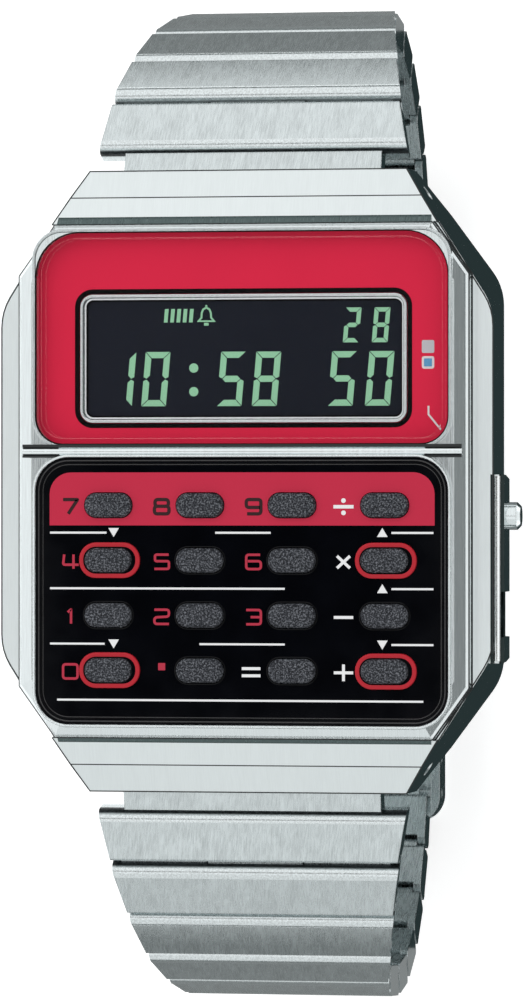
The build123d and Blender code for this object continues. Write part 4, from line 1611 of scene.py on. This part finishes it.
@dataclass
class Bracelet:
    """The links of both sides, each with a rolled bead along its near edge."""

    links: int = 11
    outer: float = 1.4
    near_gap: float = 0.1
    tongue: float = 2.85
    pitch: float = 4.15
    end_length: float = 6.5
    bead_radius: float = 0.7
    bead_skin: float = 0.014
    bead_lap: float = 0.05
    bead_foot: float = 0.3
    bead_depth: float = 0.03
    bead_steps: int = 8
    steel: BrushedSteel = BrushedSteel(
        "link_steel", (0.74, 0.805, 0.815), 0.3, 0.08, 0.9, 0.3, 0.12, polish=0.14, slant=7.0, sides=0.6,
    )
    bead: CastBead = CastBead("bead_steel")

    def build(self, kit: "Kit") -> None:
        """Dress every link and lay its bead.
        """
        hinges = {joint["name"]: joint for joint in kit.frame["joints"]}
        for side in (12, 6):
            tilt = 0.0
            for number in range(1, self.links + 1):
                node = f"link_{side}_{number:02d}"
                kit.dress(self.steel, node)
                hinge = hinges[f"hinge_{side}_{number:02d}"]
                tilt += hinge["range_deg"][1]
                following = f"link_{side}_{min(number + 1, self.links - 1):02d}"
                halves = (Span.of(node).size.x / 2, Span.of(following).size.x / 2)
                if number == self.links:
                    halves = (halves[1], halves[1])
                self.build_bead(kit, node, side, Vector(hinge["pos_m"]) / MM, tilt, halves)

    def build_bead(self, kit: "Kit", node: str, side: int, pivot: Vector, tilt: float, halves: Point) -> None:
        """Lay the rolled bead over the near edge of one link.

        Args:
            node: The link.
            side: 12 or 6, the side of the case that the link is on.
            pivot: The link's near pivot.
            tilt: How far the link slopes below the face of the watch, in degrees.
            halves: Half the link's width at its near and its far end.
        """
        way = 1 if side == 12 else -1
        slope = math.radians(tilt)
        along = Vector((0, way * math.cos(slope), -math.sin(slope)))
        outward = Vector((0, way * math.sin(slope), math.cos(slope)))
        first = node.endswith("_01")
        start = self.tongue if first else self.near_gap
        length = (self.end_length if first else self.pitch) - start
        radius, middle_u, middle_w = self.bead_radius, start + self.bead_radius, self.outer - self.bead_radius
        skin = [(middle_u + self.bead_lap, self.outer)]
        for step in range(self.bead_steps + 1):
            angle = math.radians(90 * step / self.bead_steps)
            skin.append((middle_u - radius * math.sin(angle), middle_w + radius * math.cos(angle)))
        skin.append((start, middle_w - self.bead_foot))
        builder = Builder(f"bead_{node[5:]}")
        loops = []
        for sign in (-1, 1):
            loop = []
            for lift, row in ((self.bead_skin, skin), (-self.bead_depth, list(reversed(skin)))):
                for u, w in row:
                    out = Vector((u - middle_u, w - middle_w))
                    if w < middle_w:
                        out = Vector((-1.0, 0.0))
                    elif u > middle_u:
                        out = Vector((0.0, 1.0))
                    out = out.normalized() * lift
                    share = (u - start) / length
                    half = halves[0] * (1 - share) + halves[1] * share
                    place = along * (u + out.x) + outward * (w + out.y) + pivot
                    loop.append(Vector((sign * (half + self.bead_skin * 0.5), place.y, place.z)))
            loops.append(builder.ring(loop))
        builder.bridge(*loops)
        builder.close(loops[1], loops[0])
        builder.finish(kit, self.bead, "link_steel", node)


@dataclass
class Clasp:
    """The folding clasp: cover and two leaves."""

    steel: BrushedSteel = BrushedSteel("clasp_steel", roughness=0.28, contrast=0.2, edge=0.12)
    leaf: BrushedSteel = BrushedSteel("leaf_steel", (0.68, 0.73, 0.735), 0.26, contrast=0.16, edge=0.1)

    def build(self, kit: "Kit") -> None:
        """Dress cover and leaves."""
        kit.dress(self.steel, "clasp_cover")
        kit.dress(self.leaf, "clasp_leaf_outer", "clasp_leaf_inner")


@dataclass
class Kit:
    """The loaded frame and the materials made so far."""

    frame: dict
    made: dict[str, bpy.types.Material] = field(default_factory=dict)

    def material(self, finish: object) -> bpy.types.Material:
        """Make a finish once and hand it out again after that.

        Args:
            finish: The finish.

        Returns:
            Its material.
        """
        if finish.name not in self.made:
            self.made[finish.name] = finish.make()
        return self.made[finish.name]

    def dress(self, finish: object, *nodes: str) -> None:
        """Give nodes of the frame a finish.

        Args:
            finish: The finish.
            nodes: The nodes that get it.
        """
        for node in nodes:
            piece = self.frame["nodes"][node]
            piece.data.materials.clear()
            piece.data.materials.append(self.material(finish))
            log.info("%s: %s", node, finish.name)


# Studio

class Card(Enum):
    """Cards round the watch: middle, size across and along, turn about X and Y, and tone."""

    TOP = ((0.0, 50.0, 13.3), (130.0, 28.8), (90.0, 0.0), (0.27, 0.28, 0.28))
    BOTTOM = ((0.0, -52.0, 15.0), (130.0, 30.0), (90.0, 0.0), (0.26, 0.27, 0.27))
    RIGHT = ((34.0, 0.0, 0.3), (62.0, 150.0), (0.0, 0.0), (0.022, 0.034, 0.035))
    LEFT = ((-60.0, 0.0, 14.0), (30.0, 150.0), (0.0, 90.0), (0.03, 0.035, 0.036))
    FLOOR_12 = ((0.0, 42.5, 0.4), (130.0, 17.0), (0.0, 0.0), (0.25, 0.26, 0.26))
    FLOOR_6 = ((0.0, -44.0, 0.4), (130.0, 18.0), (0.0, 0.0), (0.25, 0.26, 0.26))
    ABOVE = ((-71.0, 1.3, 434.0), (62.0, 74.0), (0.0, 0.0), (0.02, 0.022, 0.025))
    FRONT = ((0.0, -260.0, 230.0), (700.0, 330.0), (45.0, 0.0), (0.82, 0.83, 0.83))


class Belt(Enum):
    """Curved cards round the watch: from and to which azimuth and height in degrees, and tone."""

    EAST_GREY = ((-64.0, 64.0), (38.0, 66.0), (0.26, 0.27, 0.27))
    EAST_DARK = ((-64.0, 64.0), (15.0, 35.0), (0.02, 0.024, 0.025))
    NORTH = ((62.0, 118.0), (-3.0, 11.0), (0.09, 0.11, 0.11))
    SOUTH = ((-118.0, -62.0), (-3.0, 9.0), (0.12, 0.14, 0.14))


@dataclass
class Studio:
    """White floor, even dome light, one soft lamp, the cards that the steel reflects, and the camera."""

    aim: tuple[float, float, float] = (1.75, -1.3, 40.43)
    turn: float = math.radians(10)
    distance: float = 400.0
    lens: float = 210.0
    dome: float = 0.85
    belt_radius: float = 300.0
    belt_steps: int = 24
    floor_tone: Colour = (0.86, 0.86, 0.86)
    floor_size: float = 6000.0
    lamp_place: tuple[float, float, float] = (-260.0, 330.0, 560.0)
    lamp_aim: tuple[float, float, float] = (0.0, 0.0, 30.0)
    lamp_size: float = 500.0
    lamp_watts: float = 1.3

    def build(self) -> None:
        """Set up light, floor, cards and camera."""
        self.build_world()
        self.build_floor()
        self.build_lamps()
        for card in Card:
            self.build_card(card)
        for belt in Belt:
            self.build_belt(belt)
        self.build_camera()
        bpy.context.scene.view_settings.view_transform = "Standard"

    def build_world(self) -> None:
        """Light the scene with an even dome, white behind the watch."""
        world = bpy.data.worlds.new("studio")
        bpy.context.scene.world = world
        world.use_nodes = True
        tree = world.node_tree
        tree.nodes.clear()
        path = tree.nodes.new("ShaderNodeLightPath")
        glossy, seen = tree.nodes.new("ShaderNodeMath"), tree.nodes.new("ShaderNodeMath")
        glossy.operation = seen.operation = "MAXIMUM"
        mix = tree.nodes.new("ShaderNodeMixShader")
        for number, strength in ((1, self.dome), (2, 1.0)):
            sky = tree.nodes.new("ShaderNodeBackground")
            sky.inputs["Color"].default_value = (1.0, 1.0, 1.0, 1.0)
            sky.inputs["Strength"].default_value = strength
            tree.links.new(sky.outputs[0], mix.inputs[number])
        tree.links.new(path.outputs["Is Glossy Ray"], glossy.inputs[0])
        tree.links.new(path.outputs["Is Transmission Ray"], glossy.inputs[1])
        tree.links.new(path.outputs["Is Camera Ray"], seen.inputs[0])
        tree.links.new(glossy.outputs[0], seen.inputs[1])
        tree.links.new(seen.outputs[0], mix.inputs[0])
        tree.links.new(mix.outputs[0], tree.nodes.new("ShaderNodeOutputWorld").inputs[0])

    def sheet(self, name: str, middle: Vector, across: float, along: float, turn: Matrix) -> bpy.types.Object:
        """Add a flat sheet of the stage."""
        edges = rectangle(-across / 2, -along / 2, across / 2, along / 2)
        return self.prop(name, [turn @ Vector((x, y, 0)) + middle for x, y in edges], [(0, 1, 2, 3)])

    def prop(self, name: str, places: list[Vector], faces: list[tuple[int, ...]]) -> bpy.types.Object:
        """Add a piece of the stage from points in millimetres.

        Args:
            name: The piece's name.
            places: Its points.
            faces: Its faces, as the numbers of their points.

        Returns:
            The new object.
        """
        mesh = bpy.data.meshes.new(name)
        mesh.from_pydata([place * MM for place in places], [], faces)
        piece = bpy.data.objects.new(name, mesh)
        bpy.context.scene.collection.objects.link(piece)
        piece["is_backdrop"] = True
        return piece

    def build_floor(self) -> None:
        """Lay the white floor, which keeps the shadow of the watch."""
        size = self.floor_size
        floor = self.sheet("floor", Vector((0, 0, -0.02)), size, size, Matrix.Identity(3))
        recipe = Recipe("floor_white")
        cloud = recipe.grain(40.0, 1.0, 0.3)
        pale = dim(self.floor_tone, 0.995)
        recipe.set(Base_Color=recipe.blend(cloud, self.floor_tone, pale))
        recipe.set(Roughness=0.9, Specular_IOR_Level=0.0)
        path = recipe.add("LightPath")
        seen = recipe.math("MAXIMUM", path.outputs["Is Camera Ray"], path.outputs["Is Glossy Ray"])
        seen = recipe.math("MAXIMUM", seen, path.outputs["Is Transmission Ray"])
        glow = recipe.math("MULTIPLY", seen, 0.5)
        recipe.join((1.0, 1.0, 1.0), recipe.shader.inputs["Emission Color"])
        recipe.join(glow, recipe.shader.inputs["Emission Strength"])
        floor.data.materials.append(recipe.material)

    def build_lamps(self) -> None:
        """Hang one large soft lamp up to the left."""
        data = bpy.data.lights.new("soft_lamp", "AREA")
        data.shape = "RECTANGLE"
        data.size = data.size_y = self.lamp_size * MM
        data.energy = self.lamp_watts
        lamp = bpy.data.objects.new("soft_lamp", data)
        lamp.location = Vector(self.lamp_place) * MM
        lamp.rotation_euler = (Vector(self.lamp_aim) * MM - lamp.location).to_track_quat("-Z", "Y").to_euler()
        lamp.visible_glossy = False
        lamp.visible_transmission = False
        bpy.context.scene.collection.objects.link(lamp)

    def build_card(self, card: Card) -> None:
        """Place one card, which shows only as a reflection or through the crystal.

        Args:
            card: The card.
        """
        middle, size, turn, tone = card.value
        about_x, about_y = (math.radians(angle) for angle in turn)
        turned = Matrix.Rotation(about_x, 3, "X") @ Matrix.Rotation(about_y, 3, "Y")
        self.glow(self.sheet(f"card_{card.name.lower()}", Vector(middle), *size, turned), tone)

    def build_belt(self, belt: Belt) -> None:
        """Bend one card round the watch.

        Args:
            belt: The curved card.
        """
        across, up, tone = belt.value
        places = []
        for step in range(self.belt_steps + 1):
            azimuth = math.radians(across[0] + (across[1] - across[0]) * step / self.belt_steps)
            for height in up:
                slope = math.radians(height)
                reach = math.cos(slope)
                way = Vector((math.cos(azimuth) * reach, math.sin(azimuth) * reach, math.sin(slope)))
                places.append(way * self.belt_radius + Vector((0, 0, self.aim[2])))
        faces = [(2 * step, 2 * step + 2, 2 * step + 3, 2 * step + 1) for step in range(self.belt_steps)]
        self.glow(self.prop(f"belt_{belt.name.lower()}", places, faces), tone)

    def glow(self, piece: bpy.types.Object, tone: Colour) -> None:
        """Give a card an even tone of its own, and hide it from the camera and the light.

        Args:
            piece: The card.
            tone: Its tone.
        """
        piece.visible_camera = False
        piece.visible_diffuse = False
        piece.visible_shadow = False
        recipe = Recipe(piece.name)
        recipe.tree.nodes.remove(recipe.shader)
        glow = recipe.add("Emission")
        recipe.join(tone, glow.inputs["Color"])
        glow.inputs["Strength"].default_value = 1.0
        recipe.join(glow.outputs[0], recipe.output.inputs["Surface"])
        piece.data.materials.append(recipe.material)

    def build_camera(self) -> None:
        """Set the camera ten degrees towards the 3 o'clock side."""
        data = bpy.data.cameras.new("camera")
        data.sensor_fit = "VERTICAL"
        data.sensor_height = 36.0
        data.lens = self.lens
        data.clip_start = MM
        camera = bpy.data.objects.new("camera", data)
        camera.rotation_euler = (0.0, self.turn, 0.0)
        reach = Vector((math.sin(self.turn), 0.0, math.cos(self.turn))) * self.distance
        camera.location = (Vector(self.aim) + reach) * MM
        bpy.context.scene.collection.objects.link(camera)
        bpy.context.scene.camera = camera


def corners() -> list[list[float]]:
    """The whole object's box, as plain lists of metres."""
    return [[float(value) for value in corner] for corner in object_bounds()]


def main() -> None:
    """Build the watch and its studio."""
    logging.basicConfig(level=logging.INFO, format="%(name)s: %(message)s")
    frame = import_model()
    Studio().build()
    kit = Kit(frame)
    for part in (Case(), Module(), Display(), Keypad(), Pushers(), Bracelet(), Clasp()):
        part.build(kit)
        log.info("%s done", type(part).__name__)


if __name__ == "__main__":
    main()
